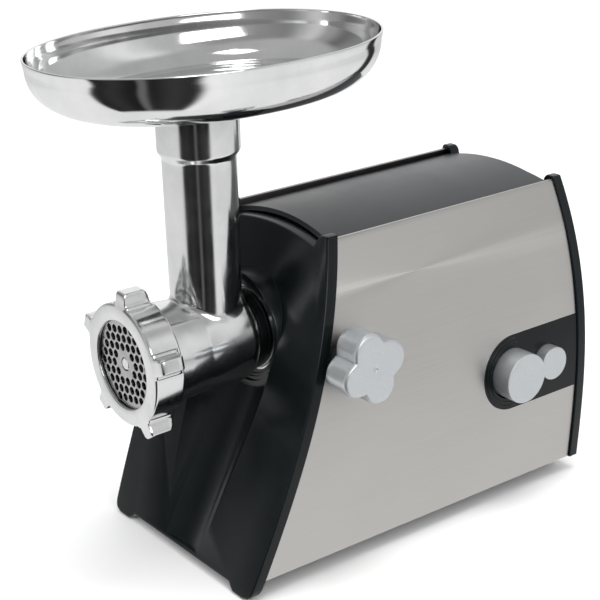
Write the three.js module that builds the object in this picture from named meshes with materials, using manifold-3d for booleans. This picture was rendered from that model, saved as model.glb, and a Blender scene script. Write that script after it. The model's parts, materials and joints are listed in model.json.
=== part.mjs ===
// An electric meat grinder for the kitchen: a steel-sided motor housing, a cast head with a feed tube and an
// oval tray, an auger with its knife and plate, a gear train, a series motor, a clamp knob and two push buttons.
//
// Millimetres. X runs across the housing, Y from the grinding plate at the front to the back, Z up.
// The model is laid out with X = 0 on the housing's middle plane, Y = 0 on the feed tube's axis and Z = 0 on
// the table, and is then moved so that its origin is at the bottom centre of the whole object's box.
import * as THREE from 'three';
import { mergeVertices } from 'three/addons/utils/BufferGeometryUtils.js';
import Module from 'manifold-3d';

const wasm = await Module();
wasm.setup();

// ---------------------------------------------------------------- driving dimensions: fits
const GAP = 0.3;                      // between pieces that rest on each other
const RUNNING = 0.35;                 // radial play of what turns or slides
const GEAR_PLAY = 0.34;               // how much thinner a tooth is than half its pitch, in modules

// ---------------------------------------------------------------- driving dimensions: housing
const PANEL_BOTTOM = 10.4;            // height of the steel sides' lower edge
const PANEL_TOP = 204.8;
const PANEL_THICKNESS = 1.2;
const HEM_HEIGHT = 3;                 // folded edge along the top of each side
const HEM_THICKNESS = 2.4;
const HALF_WIDTHS = [77, 83.1, 86.7, 53.2];   // Bezier control half widths of a side, bottom to top
const FRONT_FOOT_Y = -18.8;           // where the front cover meets the sides, at PANEL_BOTTOM
const FRONT_HEAD_Y = 60;              // the same at PANEL_TOP: the front leans back
const REAR_JOINT_Y = 242;             // where the rear cover meets the sides
const FLANGE_DEPTH = 8.5;             // depth of the front cover's rim
const REAR_DEPTH = 7.5;
const FLANGE_PROUD = 1.6;             // how far the covers' rims stand out from the sides
const COVER_WALL = 2.8;
const COVER_TOP = 207;                // top of the covers' corner lobes
const CORNER_WIDTH = 9;               // width of a corner lobe
const ARCH_APEX = 204;                // top edge of both covers, at the middle
const ARCH_DROP = 5;                  // how much lower the top edge is at its ends
const COVER_BOTTOM = 4.4;             // lower edge of the front cover, between its feet
const FOOT_LOBE_BOTTOM = 0.5;
const FOOT_LOBE_INNER = 55;           // half distance between the front cover's feet
const TOP_APEX = 208;                 // the top cover's own arch
const TOP_DROP = 8.5;
const TOP_WALL = 2.5;
const TOP_SKIRT = 7;
const BASE_BOTTOM = 9.8;
const BASE_THICKNESS = 2.6;
const FOOT_RADIUS = 9;
const FOOT_X = 36;                    // half distance between the rubber feet
const FOOT_FRONT_Y = 12;
const FOOT_REAR_Y = 228;
const FOOT_SINK = 1;                  // depth of the recess that holds a foot
const VENT_WIDTH = 4;
const VENT_PITCH = 9;
const REAR_VENTS = { count: 9, bottom: 120, top: 160 };
const BASE_VENTS = { count: 7, front: 150, rear: 195 };
const CORD = { x: -38, z: 38, hole: 8, bore: 4.5, flange: 11 };     // the gland, on the rear cover
const BOARD = { thickness: 1.6, outside: -60.4, front: 140, rear: 210, bottom: 120, top: 165 };

// ---------------------------------------------------------------- driving dimensions: head
const HEAD_AXIS = 139.3;              // height of the auger's axis
const PLATE_RADIUS = 31;              // a size 8 grinding plate is 62 mm across
const PLATE_THICKNESS = 5;
const PLATE_HOLE_RADIUS = 2.45;
const PLATE_HOLE_PITCH = 6.2;
const PLATE_HUB_RADIUS = 8.5;         // no holes inside this
const PLATE_BORDER = 5.4;             // nor with their centre nearer the edge than this
const PLATE_LATTICE_TURN = THREE.MathUtils.degToRad(10);
const RING_FRONT = -62.4;             // front face of the ring nut
const RING_LENGTH = 20.4;
const RING_WALL = 3.8;                // from the thread to the ring nut's outside
const RING_OVERLAP = 3.5;             // how far its lip covers the plate
const RING_LIP = 2.5;
const RING_LUGS = 5;
const RING_LUG_HEIGHT = 8.6;
const RING_LUG_WIDTH = 12;
const RING_LUG_TURN = THREE.MathUtils.degToRad(15);
const MOUTH_WALL = 3.2;               // of the head's mouth, around the plate
const MOUTH_SET_BACK = 5.2;           // from the ring nut's front face to the mouth
const CHAMBER_STEP = 4.5;             // how much narrower than the plate the auger's bore is
const CHAMBER_FRONT = -49.2;          // the mouth's bore is wider, for plate and knife
const CHAMBER_REAR = 18;
const BARREL_WALL = 3.5;              // around the auger's bore
const NECK_STEP = 2.2;                // from the thread down to the barrel just behind the ring nut
const BARREL_REAR = 20;               // shoulder in front of the spigot
const SPIGOT_RADIUS = 26;
const SPIGOT_REAR = 64;
const TUBE_RADIUS_LOW = 22;
const TUBE_RADIUS_HIGH = 23;
const TUBE_WALL = 2.2;
const TUBE_TOP = 284;
const BELL_RADIUS = 24.9;             // the tube's widened top
const BELL_START = 260;
const BELL_FULL = 273;
const KNIFE_INSET = 3;                // how much shorter the knife's arms are than the plate's radius
const KNIFE_THICKNESS = 4.6;
const KNIFE_ARM = 9;
const KNIFE_SQUARE = 9;               // square seat of the knife on the auger
const KNIFE_HUB = 8.5;
const KEY_RADIUS = 1.4;               // key that stops the plate from turning
const KEY_SET_BACK = 2.2;             // from the mouth's front edge to the key
const KEY_DEPTH = 2.7;                // how far it reaches into the plate
const WASHER_RADIUS = 19;
const WASHER_THICKNESS = 2.7;
const AUGER_CORE = 9;
const AUGER_PITCH = 28;
const AUGER_FLIGHT = 6.5;             // thickness of the flight at its rim, along the axis
const AUGER_SHAFT = 9.6;
const AUGER_STEP = THREE.MathUtils.degToRad(30);
const PIN_RADIUS = 3.9;               // the auger's front pin, in the plate's middle hole
const DRIVE_SQUARE = 12.4;            // the auger coupling's square tail
const DRIVE_LENGTH = 13;

// ---------------------------------------------------------------- driving dimensions: tray
const TRAY_HALF_X = 79.3;
const TRAY_HALF_Y = 111.7;
const TRAY_CENTRE_Y = 9.7;
const TRAY_RIM = 323.2;               // height of the rim
const TRAY_DEPTH = 32;
const TRAY_WALL = 1.8;
const TRAY_CORNER_WIDE = 21;          // rounding between wall and floor, across and up
const TRAY_CORNER_TALL = 26;
const TRAY_DRAFT = 0.8;
const TRAY_SQUARENESS = 2.13;         // exponent of the oval: 2 is an ellipse
const NECK_LENGTH = 24;               // how deep the tray's neck reaches into the tube
const TRAY_SINK = 1.2;                // how much the floor falls towards the neck
const TRAY_SEAT = 1.2;                // how far the neck's shoulder stands out over the tube

// ---------------------------------------------------------------- driving dimensions: clamp and controls
const COLLAR_ROOM = 7.6;              // around the spigot, inside the front cover's collar
const COLLAR_WALL = 4.4;
const COLLAR_FRONT = 25.5;
const COLLAR_REAR = 44;
const SCOOP_RADIUS = 49;              // the hollow under the collar
const SCOOP_DEPTH_TOP = 18;           // its depth just under the collar, and near the bottom edge
const SCOOP_DEPTH_BOTTOM = 4.6;
const SCOOP_INSET = 1;                // how much narrower it is than the collar
const SCOOP_LOW = 12;
const CLAMP_Y = 48;
const CLAMP_SCREW_RADIUS = 4.8;
const KNOB_REAR = 85;                 // distance of the knob's back from the middle plane
const KNOB_FRONT = 103.5;
const KNOB_RADIUS = 23.6;             // tips of the lobes
const KNOB_LOBE = 11.2;               // radius of one lobe
const KNOB_CORNERS = 40;
const KNOB_TURN = THREE.MathUtils.degToRad(17);
const KNOB_CHAMFER = 2.4;
const PAD_THICKNESS = 5;
const PAD_RADIUS = 8;
const PAD_TRAVEL = 4.5;
const NUT_RADIUS = 11;
const NUT_THICKNESS = 8;
const BUSH_FLANGE = 14;               // radius of the black bush behind the knob
const CONTROL_Z = 92;                 // height of both buttons and of the panel's middle
const CONTROL_HALF_HEIGHT = 25.5;
const CONTROL_CENTRE_Y = 182.8;       // centre of the panel's round end
const CONTROL_WALL = 3;
const ON_OFF = { y: 182, radius: 16.7, face: 94.5, travel: 4 };
const REVERSE = { y: 213.5, radius: 11.2, face: 88.5, travel: 3 };
const BUTTON_WELL = 66;               // how far out the floor of a button's well lies
const BUTTON_SKIN = 3;
const STEM_RADIUS = 3.5;
const SWITCH_DEPTH = 8;               // from the well's floor in to the switch
const SPRING_WIRE = 0.8;
const SPRING_TURNS = 3.5;

// ---------------------------------------------------------------- driving dimensions: drive
const SOCKET_WALL = 4;
const SOCKET_FLANGE_WIDTH = 13.65;    // beyond the socket's sleeve
const BOSS_RADIUS = 11;               // boss on the socket, around the clamp screw
const BOSS_LENGTH = 10;
const SOCKET_SET_BACK = 6;            // from the collar's face to the socket
const GEARBOX_FRONT = 66.3;
const GEARBOX_REAR = 111;
const GEARBOX_WALL = 3;
const GEARBOX_HALF_WIDTH = 48;
const GEARBOX_FLOOR = 22;
const STAGES = [                      // motor first: teeth, module, face width and front face of each pair
  { pinion: 10, wheel: 42, module: 1, face: 8, front: 96 },
  { pinion: 11, wheel: 44, module: 1.25, face: 9, front: 86.4 },
  { pinion: 12, wheel: 48, module: 1.5, face: 13, front: 72.6 },
];
const FLANK = THREE.MathUtils.degToRad(22);                 // slope of a tooth's side
const SHAFT_2_BEARING = THREE.MathUtils.degToRad(-72);     // direction from the output shaft to shaft 2
const SHAFT_1_BEARING = THREE.MathUtils.degToRad(-146);    // from shaft 2 to shaft 1
const MOTOR_BEARING = THREE.MathUtils.degToRad(-56);       // from shaft 1 to the motor
const OUTPUT_SHAFT_RADIUS = 10;
const GEAR_SHAFT_RADIUS = 4;
const MOTOR_SHAFT_RADIUS = 4;
const SHAFT_TIP_RADIUS = 2;           // the motor shaft's tip, inside the pinion
const BUSH_WALL = 4;
const ARMATURE_RADIUS = 19.5;
const ARMATURE_SLOTS = 12;
const AIR_GAP = 0.9;
const STATOR_RADIUS = 36;
const STATOR_YOKE = 7;
const POLE_HALF = 13;
const STACK_FRONT = 142;
const STACK_LENGTH = 34;
const FAN_FRONT = 124;
const FAN_LENGTH = 10;
const FAN_RADIUS = 26;
const FAN_BLADES = 8;
const COMMUTATOR_RADIUS = 11;
const COMMUTATOR_FRONT = 183;
const COMMUTATOR_LENGTH = 13;
const BRACKET_FRONT = 200;
const BRACKET_THICKNESS = 4;
const BEARING_RADIUS = 11;
const BEARING_WIDTH = 6;

// ---------------------------------------------------------------- sizes that follow from those above
const THREAD_RADIUS = PLATE_RADIUS + MOUTH_WALL;
const RING_RADIUS = THREAD_RADIUS + RING_WALL;
const RING_LUG_RADIUS = RING_RADIUS + RING_LUG_HEIGHT;
const RING_OPENING = PLATE_RADIUS - RING_OVERLAP;
const PLATE_HOLE_FIELD = PLATE_RADIUS - PLATE_BORDER;
const KNIFE_RADIUS = PLATE_RADIUS - KNIFE_INSET;
const CHAMBER_RADIUS = PLATE_RADIUS - CHAMBER_STEP;
const BARREL_RADIUS = CHAMBER_RADIUS + BARREL_WALL;
const BARREL_NECK_RADIUS = THREAD_RADIUS - NECK_STEP;
const MOUTH_FRONT = RING_FRONT + MOUTH_SET_BACK;
const SOCKET_BORE = SPIGOT_RADIUS + RUNNING;
const SOCKET_RADIUS = SOCKET_BORE + SOCKET_WALL;
const SOCKET_FLANGE = SOCKET_RADIUS + SOCKET_FLANGE_WIDTH;
const COLLAR_BORE = SPIGOT_RADIUS + COLLAR_ROOM;
const COLLAR_RADIUS = COLLAR_BORE + COLLAR_WALL;
const SOCKET_FRONT = COLLAR_FRONT + SOCKET_SET_BACK;
const SOCKET_BOSS = SOCKET_RADIUS + BOSS_LENGTH;
const PAD_FACE = SPIGOT_RADIUS + GAP;
const THREAD_REAR = RING_FRONT + RING_LENGTH - 1;
const THROAT_RADIUS = TUBE_RADIUS_LOW - TUBE_WALL;
const NECK_BORE = BELL_RADIUS - TUBE_WALL;
const NECK_FLOOR = TUBE_TOP - NECK_LENGTH - GAP - HEAD_AXIS;
const PLATE_FRONT = RING_FRONT + RING_LIP + GAP;
const PLATE_REAR = PLATE_FRONT + PLATE_THICKNESS;
const KEY_Y = MOUTH_FRONT + KEY_SET_BACK;
const KEY_INNER = PLATE_RADIUS - KEY_DEPTH;
const WASHER_FRONT = CHAMBER_REAR - GAP - WASHER_THICKNESS;
const KNIFE_REAR = CHAMBER_FRONT - GAP;
const FLIGHT_FRONT = KNIFE_REAR + GAP;
const KNIFE_FRONT = KNIFE_REAR - KNIFE_THICKNESS;
const SWITCH_FACE = BUTTON_WELL - SWITCH_DEPTH;
const BUSH_RADIUS = OUTPUT_SHAFT_RADIUS + BUSH_WALL;
const SHAFT_NOSE = GEARBOX_FRONT - 2;
const COIL_WINDOW = STATOR_RADIUS - STATOR_YOKE;
const FRONT_BEARING = GEARBOX_REAR + GAP + GEARBOX_WALL + GAP;
const REAR_BEARING = BRACKET_FRONT - BEARING_WIDTH + 2;

// ---------------------------------------------------------------- making solids
const TURN = 2 * Math.PI;
const ALONG_X = new THREE.Matrix4().makeBasis(
  new THREE.Vector3(0, 1, 0), new THREE.Vector3(0, 0, 1), new THREE.Vector3(1, 0, 0));
const ALONG_Y = new THREE.Matrix4().makeRotationX(Math.PI / 2);

// A closed three.js geometry as a solid, with its faces pointing out.
function solid(geometry) {
  geometry.deleteAttribute('normal');
  geometry.deleteAttribute('uv');
  const merged = mergeVertices(geometry, 1e-4);
  const position = merged.getAttribute('position');
  const corners = [0, 1, 2].map(() => new THREE.Vector3());
  const triangles = [];
  let volume = 0;
  for (let i = 0; i < merged.index.count; i += 3) {
    const [a, b, c] = [0, 1, 2].map((k) => merged.index.getX(i + k));
    if (a === b || b === c || c === a) continue;
    triangles.push([a, b, c]);
    [a, b, c].forEach((v, k) => corners[k].fromBufferAttribute(position, v));
    volume += corners[0].dot(corners[1].cross(corners[2]));
  }
  const outward = volume > 0 ? triangles : triangles.map(([a, b, c]) => [a, c, b]);
  return new wasm.Manifold(new wasm.Mesh({
    numProp: 3,
    vertProperties: Float32Array.from(position.array),
    triVerts: Uint32Array.from(outward.flat()),
  }));
}

function geometryOf(shape) {
  const mesh = shape.getMesh();
  const geometry = new THREE.BufferGeometry();
  geometry.setAttribute('position', new THREE.BufferAttribute(mesh.vertProperties, 3));
  geometry.setIndex(new THREE.BufferAttribute(mesh.triVerts, 1));
  geometry.computeVertexNormals();
  return geometry;
}

const joined = (...solids) => solids.flat().reduce((all, one) => all.add(one));
const cut = (body, ...tools) => tools.flat().reduce((rest, tool) => rest.subtract(tool), body);
const moved = (body, x, y, z) => body.translate([x, y, z]);

// A turned piece about the Y axis, from points [radius, y].
function turned(profile, segments = 32) {
  const points = profile.map(([r, y]) => new THREE.Vector2(r, y));
  if (profile[0][0] > 0) points.push(points[0].clone());
  return solid(new THREE.LatheGeometry(points, segments));
}

// The same about the Z axis, from points [radius, z], and about the X axis, from points [radius, x].
const turnedZ = (profile, segments) => turned(profile, segments).rotate([90, 0, 0]).mirror([0, 1, 0]);
const turnedX = (profile, segments) => turned(profile, segments).rotate([0, 0, -90]);

const rod = (radius, y0, y1, segments) => turned([[0, y0], [radius, y0], [radius, y1], [0, y1]], segments);
const rodX = (radius, x0, x1, segments) => turnedX([[0, x0], [radius, x0], [radius, x1], [0, x1]], segments);
const rodZ = (radius, z0, z1, segments) => turnedZ([[0, z0], [radius, z0], [radius, z1], [0, z1]], segments);
const ring = (inner, outer, y0, y1, segments) =>
  turned([[inner, y0], [outer, y0], [outer, y1], [inner, y1]], segments);

// A bore whose flats, not its corners, lie at the stated radius.
const clear = (radius, segments = 32) => radius / Math.cos(Math.PI / segments);

function block([x0, x1], [y0, y1], [z0, z1]) {
  const geometry = new THREE.BoxGeometry(x1 - x0, y1 - y0, z1 - z0);
  geometry.translate((x0 + x1) / 2, (y0 + y1) / 2, (z0 + z1) / 2);
  return solid(geometry);
}

function outline(points) {
  return new THREE.Shape(points.map(([a, b]) => new THREE.Vector2(a, b)));
}

function extruded(shape, depth, curveSegments = 12, steps = 1) {
  return new THREE.ExtrudeGeometry(shape, { depth, curveSegments, steps, bevelEnabled: false });
}

// Outlines are drawn as (x, z) for a piece along Y and as (y, z) for a piece along X.
function extrudedY(shape, y0, y1, curveSegments) {
  const geometry = extruded(shape, y1 - y0, curveSegments);
  geometry.applyMatrix4(ALONG_Y);
  geometry.translate(0, y1, 0);
  return solid(geometry);
}

function extrudedX(shape, x0, x1, curveSegments) {
  const geometry = extruded(shape, x1 - x0, curveSegments);
  geometry.applyMatrix4(ALONG_X);
  geometry.translate(x0, 0, 0);
  return solid(geometry);
}

function circle(radius, x = 0, y = 0) {
  const shape = new THREE.Shape();
  shape.absarc(x, y, radius, 0, TURN);
  return shape;
}

function finish(color, roughness, metalness) {
  return () => new THREE.MeshStandardMaterial({ color, roughness, metalness });
}

const STEEL_SHEET = finish(0xb4b1ac, 0.38, 1);
const BLACK_GLOSS = finish(0x15191b, 0.22, 0);
const BLACK_SATIN = finish(0x22262a, 0.42, 0);
const BLACK_MATT = finish(0x1a1a1a, 0.7, 0);
const CAST_ALUMINIUM = finish(0xc9cbcd, 0.18, 1);
const SPUN_ALUMINIUM = finish(0xd4d6d8, 0.08, 1);
const SATIN_SILVER = finish(0xc3c8ca, 0.34, 0.9);
const RUBBER = finish(0x202020, 0.9, 0);
const TOOL_STEEL = finish(0x9a9a98, 0.3, 1);
const NYLON = finish(0xe6e2d6, 0.5, 0);
const ZINC = finish(0xa7a9a6, 0.45, 1);
const COPPER = finish(0xb06a3b, 0.35, 1);
const LAMINATION = finish(0x6e6f72, 0.5, 1);
const CARBON = finish(0x2b2b2d, 0.8, 0);
const BOARD_GREEN = finish(0x2f5a3a, 0.6, 0);

function piece(name, shape, material) {
  const mesh = new THREE.Mesh(geometryOf(shape), material());
  mesh.name = name;
  return mesh;
}

function groupAt(x, y, z, pieces) {
  const group = new THREE.Group();
  group.position.set(x, y, z);
  group.add(...pieces);
  return group;
}

// ---------------------------------------------------------------- the housing's cross-section
const FRONT_SLOPE = (FRONT_HEAD_Y - FRONT_FOOT_Y) / (PANEL_TOP - PANEL_BOTTOM);

// Half width of the steel sides at a height: one cubic Bezier from the bottom edge to the top edge.
function halfWidth(z) {
  const t = THREE.MathUtils.clamp((z - PANEL_BOTTOM) / (PANEL_TOP - PANEL_BOTTOM), 0, 1);
  const s = 1 - t;
  const [a, b, c, d] = HALF_WIDTHS;
  return a * s * s * s + 3 * b * s * s * t + 3 * c * s * t * t + d * t * t * t;
}

const frontJointY = (z) => FRONT_FOOT_Y + FRONT_SLOPE * (z - PANEL_BOTTOM);

function heights(z0, z1, count) {
  return Array.from({ length: count + 1 }, (_, i) => z0 + (z1 - z0) * i / count);
}

// One side as a strip of sheet, from its outside to a depth below it.
function sideStrip(z0, z1, outside, inside, count = 14) {
  const levels = heights(z0, z1, count);
  const outer = levels.map((z) => [halfWidth(z) + outside, z]);
  const inner = levels.map((z) => [halfWidth(z) + inside, z]).reverse();
  return outline([...outer, ...inner]);
}

function archPoints(half, apex, drop, count = 10) {
  return heights(half, -half, count).map((x) => [x, apex - drop * (x / half) ** 2]);
}

const mirrored = (points) => points.map(([x, z]) => [-x, z]).reverse();

// The covers' outline: curved sides, a lobe at each top corner, an arched top edge between them.
function coverOutline(inset, bottom) {
  const side = heights(PANEL_BOTTOM, PANEL_TOP, 12).map((z) => [halfWidth(z) + FLANGE_PROUD - inset, z]);
  const cornerOuter = halfWidth(PANEL_TOP) + FLANGE_PROUD - inset;
  const cornerInner = cornerOuter - CORNER_WIDTH;
  const top = COVER_TOP - inset;
  const corner = [
    [cornerOuter - 1.2, top],
    [cornerInner + 2.5, top],
    [cornerInner, top - 2],
  ];
  const arch = archPoints(cornerInner - 2, ARCH_APEX - inset, ARCH_DROP);
  return outline([...bottom, ...side, ...corner, ...arch, ...mirrored(corner), ...mirrored(side),
    ...mirrored(bottom)]);
}

// Right half of the front cover's lower edge: straight, then down into a rounded foot.
function footedEdge() {
  const outer = halfWidth(PANEL_BOTTOM) + FLANGE_PROUD;
  return [
    [FOOT_LOBE_INNER, COVER_BOTTOM],
    [FOOT_LOBE_INNER + 2, FOOT_LOBE_BOTTOM + 1.6],
    [FOOT_LOBE_INNER + 5, FOOT_LOBE_BOTTOM],
    [outer - 8, FOOT_LOBE_BOTTOM],
    [outer - 3, FOOT_LOBE_BOTTOM + 2],
    [outer - 0.8, FOOT_LOBE_BOTTOM + 5.5],
  ];
}

// A slab that leans with the front: its depth is measured from the joint with the sides, along Y.
function leaning(shape, y0, y1) {
  const geometry = extruded(shape, y1 - y0);
  geometry.applyMatrix4(ALONG_Y);
  geometry.translate(0, y1, 0);
  const offset = FRONT_FOOT_Y - FRONT_SLOPE * PANEL_BOTTOM;
  geometry.applyMatrix4(new THREE.Matrix4().set(
    1, 0, 0, 0,
    0, 1, FRONT_SLOPE, offset,
    0, 0, 1, 0,
    0, 0, 0, 1));
  return solid(geometry);
}

// Everything behind the leaning joint, to trim what starts at the front cover.
function behindFront(gap) {
  const far = 400;
  return leaning(outline([[-far, -far], [far, -far], [far, far], [-far, far]]), gap, far);
}

// ---------------------------------------------------------------- casing
// The hollow under the collar: a leaning cylinder, kept as narrow as the collar.
function scoopTool(grow) {
  const zTop = HEAD_AXIS - COLLAR_RADIUS;
  const faceY = (z) => frontJointY(z) - FLANGE_DEPTH;
  const top = new THREE.Vector2(faceY(zTop) + SCOOP_DEPTH_TOP, zTop);
  const low = new THREE.Vector2(faceY(SCOOP_LOW) + SCOOP_DEPTH_BOTTOM, SCOOP_LOW);
  const lean = Math.atan2(top.x - low.x, top.y - low.y);
  const length = 300;
  const cylinder = new THREE.CylinderGeometry(SCOOP_RADIUS + grow, SCOOP_RADIUS + grow, length, 48);
  cylinder.rotateX(Math.PI / 2 - lean);
  const axisY = low.x - SCOOP_RADIUS * Math.cos(lean);
  const axisZ = low.y + SCOOP_RADIUS * Math.sin(lean);
  cylinder.translate(0, axisY, axisZ);
  const keep = new THREE.Shape();
  const half = COLLAR_RADIUS - SCOOP_INSET + grow;
  keep.moveTo(-half, COVER_BOTTOM + COVER_WALL);
  keep.lineTo(half, COVER_BOTTOM + COVER_WALL);
  keep.lineTo(half, HEAD_AXIS);
  keep.absarc(0, HEAD_AXIS, half, 0, Math.PI);
  return solid(cylinder).intersect(extrudedY(keep, -120, 60, 12));
}

function frontCover() {
  const outer = leaning(coverOutline(0, footedEdge()), -FLANGE_DEPTH, 0);
  const plainEdge = [[halfWidth(PANEL_BOTTOM) - COVER_WALL, COVER_BOTTOM + COVER_WALL]];
  const pocket = leaning(coverOutline(COVER_WALL, plainEdge), COVER_WALL - FLANGE_DEPTH, 1);
  const shell = cut(outer, pocket);
  const bowl = scoopTool(COVER_WALL).intersect(behindFront(1 - FLANGE_DEPTH));
  const collar = rod(COLLAR_RADIUS, COLLAR_FRONT, COLLAR_REAR, 36);
  const bore = rod(clear(COLLAR_BORE, 36), 0, 100, 36);
  const bossRoom = rodX(BOSS_RADIUS + 1, 0, 60, 16);
  const cover = joined(cut(joined(shell, bowl), scoopTool(0)), moved(collar, 0, 0, HEAD_AXIS));
  return cut(cover, moved(bore, 0, 0, HEAD_AXIS), moved(bossRoom, 0, CLAMP_Y, HEAD_AXIS));
}

// A row of air slots across the middle plane.
function ventSlots(count, alongY, alongZ) {
  return heights(-(count - 1) / 2, (count - 1) / 2, count - 1).map((i) =>
    block([i * VENT_PITCH - VENT_WIDTH / 2, i * VENT_PITCH + VENT_WIDTH / 2], alongY, alongZ));
}

function rearCover() {
  const edge = [[halfWidth(PANEL_BOTTOM) + FLANGE_PROUD - 3, BASE_BOTTOM]];
  const y0 = REAR_JOINT_Y + GAP;
  const y1 = y0 + REAR_DEPTH;
  const outer = extrudedY(coverOutline(0, edge), y0, y1);
  const inner = [[halfWidth(PANEL_BOTTOM) - COVER_WALL, BASE_BOTTOM + COVER_WALL]];
  const pocket = extrudedY(coverOutline(COVER_WALL, inner), y0 - 1, y1 - COVER_WALL);
  const vents = ventSlots(REAR_VENTS.count, [y0 - 2, y1 + 1], [REAR_VENTS.bottom, REAR_VENTS.top]);
  const outlet = moved(rod(clear(CORD.hole, 16), y0 - 2, y1 + 1, 16), CORD.x, 0, CORD.z);
  return cut(outer, pocket, vents, outlet);
}

function cordGland() {
  const face = REAR_JOINT_Y + GAP + REAR_DEPTH;
  const wall = face - COVER_WALL;
  const profile = [
    [CORD.bore, wall - 6], [CORD.hole - RUNNING, wall - 6], [CORD.hole - RUNNING, face + GAP],
    [CORD.flange, face + GAP], [CORD.flange - 1.5, face + 3], [CORD.bore, face + 3],
  ];
  return moved(turned(profile, 16), CORD.x, 0, CORD.z);
}

// A steel side: curved sheet with a folded hem at the top, cut slanting at the front.
function sidePanel() {
  const sheet = extrudedY(sideStrip(PANEL_BOTTOM, PANEL_TOP, 0, -PANEL_THICKNESS), -60, REAR_JOINT_Y);
  const hem = extrudedY(sideStrip(PANEL_TOP - HEM_HEIGHT, PANEL_TOP, 0, -HEM_THICKNESS, 2), -60, REAR_JOINT_Y);
  return joined(sheet, hem).intersect(behindFront(GAP));
}

// The control panel's outline, round in front and running out to the rear cover.
function controlOutline(grow) {
  const half = CONTROL_HALF_HEIGHT + grow;
  const shape = new THREE.Shape();
  shape.moveTo(REAR_JOINT_Y + grow, CONTROL_Z - half);
  shape.lineTo(REAR_JOINT_Y + grow, CONTROL_Z + half);
  shape.lineTo(CONTROL_CENTRE_Y, CONTROL_Z + half);
  shape.absarc(CONTROL_CENTRE_Y, CONTROL_Z, half, Math.PI / 2, 1.5 * Math.PI);
  return shape;
}

function rightPanel() {
  const window = extrudedX(controlOutline(GAP), 0, 120, 12);
  const screwHole = moved(rodX(clear(CLAMP_SCREW_RADIUS + 2, 16), 0, 120, 16), 0, CLAMP_Y, HEAD_AXIS);
  return cut(sidePanel(), window, screwHole);
}

const leftPanel = () => sidePanel().mirror([1, 0, 0]);

function topCover() {
  const half = halfWidth(TOP_APEX - TOP_DROP) - PANEL_THICKNESS - GAP;
  const outer = archPoints(half, TOP_APEX, TOP_DROP, 16);
  const skirt = TOP_APEX - TOP_DROP - TOP_SKIRT;
  const inner = archPoints(half - TOP_WALL, TOP_APEX - TOP_WALL, TOP_DROP, 16).reverse();
  const section = outline([[half, skirt], ...outer, [-half, skirt], [TOP_WALL - half, skirt], ...inner,
    [half - TOP_WALL, skirt]]);
  return extrudedY(section, 0, REAR_JOINT_Y).intersect(behindFront(GAP));
}

function basePlate() {
  const half = halfWidth(PANEL_BOTTOM) - PANEL_THICKNESS - GAP;
  const z1 = BASE_BOTTOM + BASE_THICKNESS;
  const plate = block([-half, half], [-60, REAR_JOINT_Y], [BASE_BOTTOM, z1]).intersect(behindFront(GAP));
  const slots = ventSlots(BASE_VENTS.count, [BASE_VENTS.front, BASE_VENTS.rear], [0, z1 + 1]);
  const seats = FEET.map(([, x, y]) =>
    moved(rodZ(clear(FOOT_RADIUS + GAP, 20), 0, BASE_BOTTOM + FOOT_SINK, 20), x, y, 0));
  return cut(plate, slots, seats);
}

const FEET = [
  ['foot_front_left', -FOOT_X, FOOT_FRONT_Y],
  ['foot_front_right', FOOT_X, FOOT_FRONT_Y],
  ['foot_rear_left', -FOOT_X, FOOT_REAR_Y],
  ['foot_rear_right', FOOT_X, FOOT_REAR_Y],
];

function foot() {
  const top = BASE_BOTTOM + FOOT_SINK - GAP;
  return turnedZ([[0, 0], [FOOT_RADIUS - 1.5, 0], [FOOT_RADIUS, 1.5], [FOOT_RADIUS, top], [0, top]], 20);
}

// ---------------------------------------------------------------- controls
// The panel follows the side's curve and carries a round well behind each button.
function controlPanel() {
  const skin = extrudedY(sideStrip(60, 125, 0.3, -CONTROL_WALL, 4), 100, REAR_JOINT_Y);
  const plate = skin.intersect(extrudedX(controlOutline(0), 0, 120, 12));
  const surface = halfWidth(CONTROL_Z);
  const wells = [ON_OFF, REVERSE].map(({ y, radius }) =>
    moved(rodX(radius + RUNNING + 1.6, BUTTON_WELL - 2, surface - CONTROL_WALL / 2, 20), 0, y, CONTROL_Z));
  const bores = [ON_OFF, REVERSE].flatMap(({ y, radius }) => [
    moved(rodX(clear(radius + RUNNING, 24), BUTTON_WELL, 120, 24), 0, y, CONTROL_Z),
    moved(rodX(clear(STEM_RADIUS + RUNNING, 8), 40, 120, 8), 0, y, CONTROL_Z),
  ]);
  return cut(joined(plate, wells), bores);
}

// A push button: a cup with a stem that reaches the switch.
function button({ radius, face, travel }) {
  const back = BUTTON_WELL + travel + 3;
  return turnedX([
    [0, SWITCH_FACE + travel + 0.4], [STEM_RADIUS, SWITCH_FACE + travel + 0.4], [STEM_RADIUS, face - BUTTON_SKIN],
    [radius - BUTTON_SKIN, face - BUTTON_SKIN], [radius - BUTTON_SKIN, back], [radius, back],
    [radius, face - 0.8], [radius - 0.8, face], [0, face],
  ], 24);
}

const switchBody = (y) =>
  block([SWITCH_FACE - 14, SWITCH_FACE], [y - 9, y + 9], [CONTROL_Z - 5, CONTROL_Z + 5]);

class Helix extends THREE.Curve {
  constructor(radius, x0, x1, turns) {
    super();
    Object.assign(this, { radius, x0, x1, turns });
  }

  getPoint(t, target = new THREE.Vector3()) {
    const angle = TURN * this.turns * t;
    return target.set(this.x0 + (this.x1 - this.x0) * t,
      this.radius * Math.cos(angle), this.radius * Math.sin(angle));
  }
}

// The return spring stands in the well and pushes on the inside of the cup.
function buttonSpring({ radius, face }) {
  const coil = (STEM_RADIUS + radius - BUTTON_SKIN) / 2;
  const reach = SPRING_WIRE + GAP;
  const path = new Helix(coil, BUTTON_WELL + reach, face - BUTTON_SKIN - reach, SPRING_TURNS);
  const section = outline([0, 1, 2, 3].map((i) =>
    [SPRING_WIRE * Math.cos(TURN * i / 4), SPRING_WIRE * Math.sin(TURN * i / 4)]));
  return solid(new THREE.ExtrudeGeometry(section, { steps: 28, extrudePath: path, bevelEnabled: false }));
}

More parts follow.
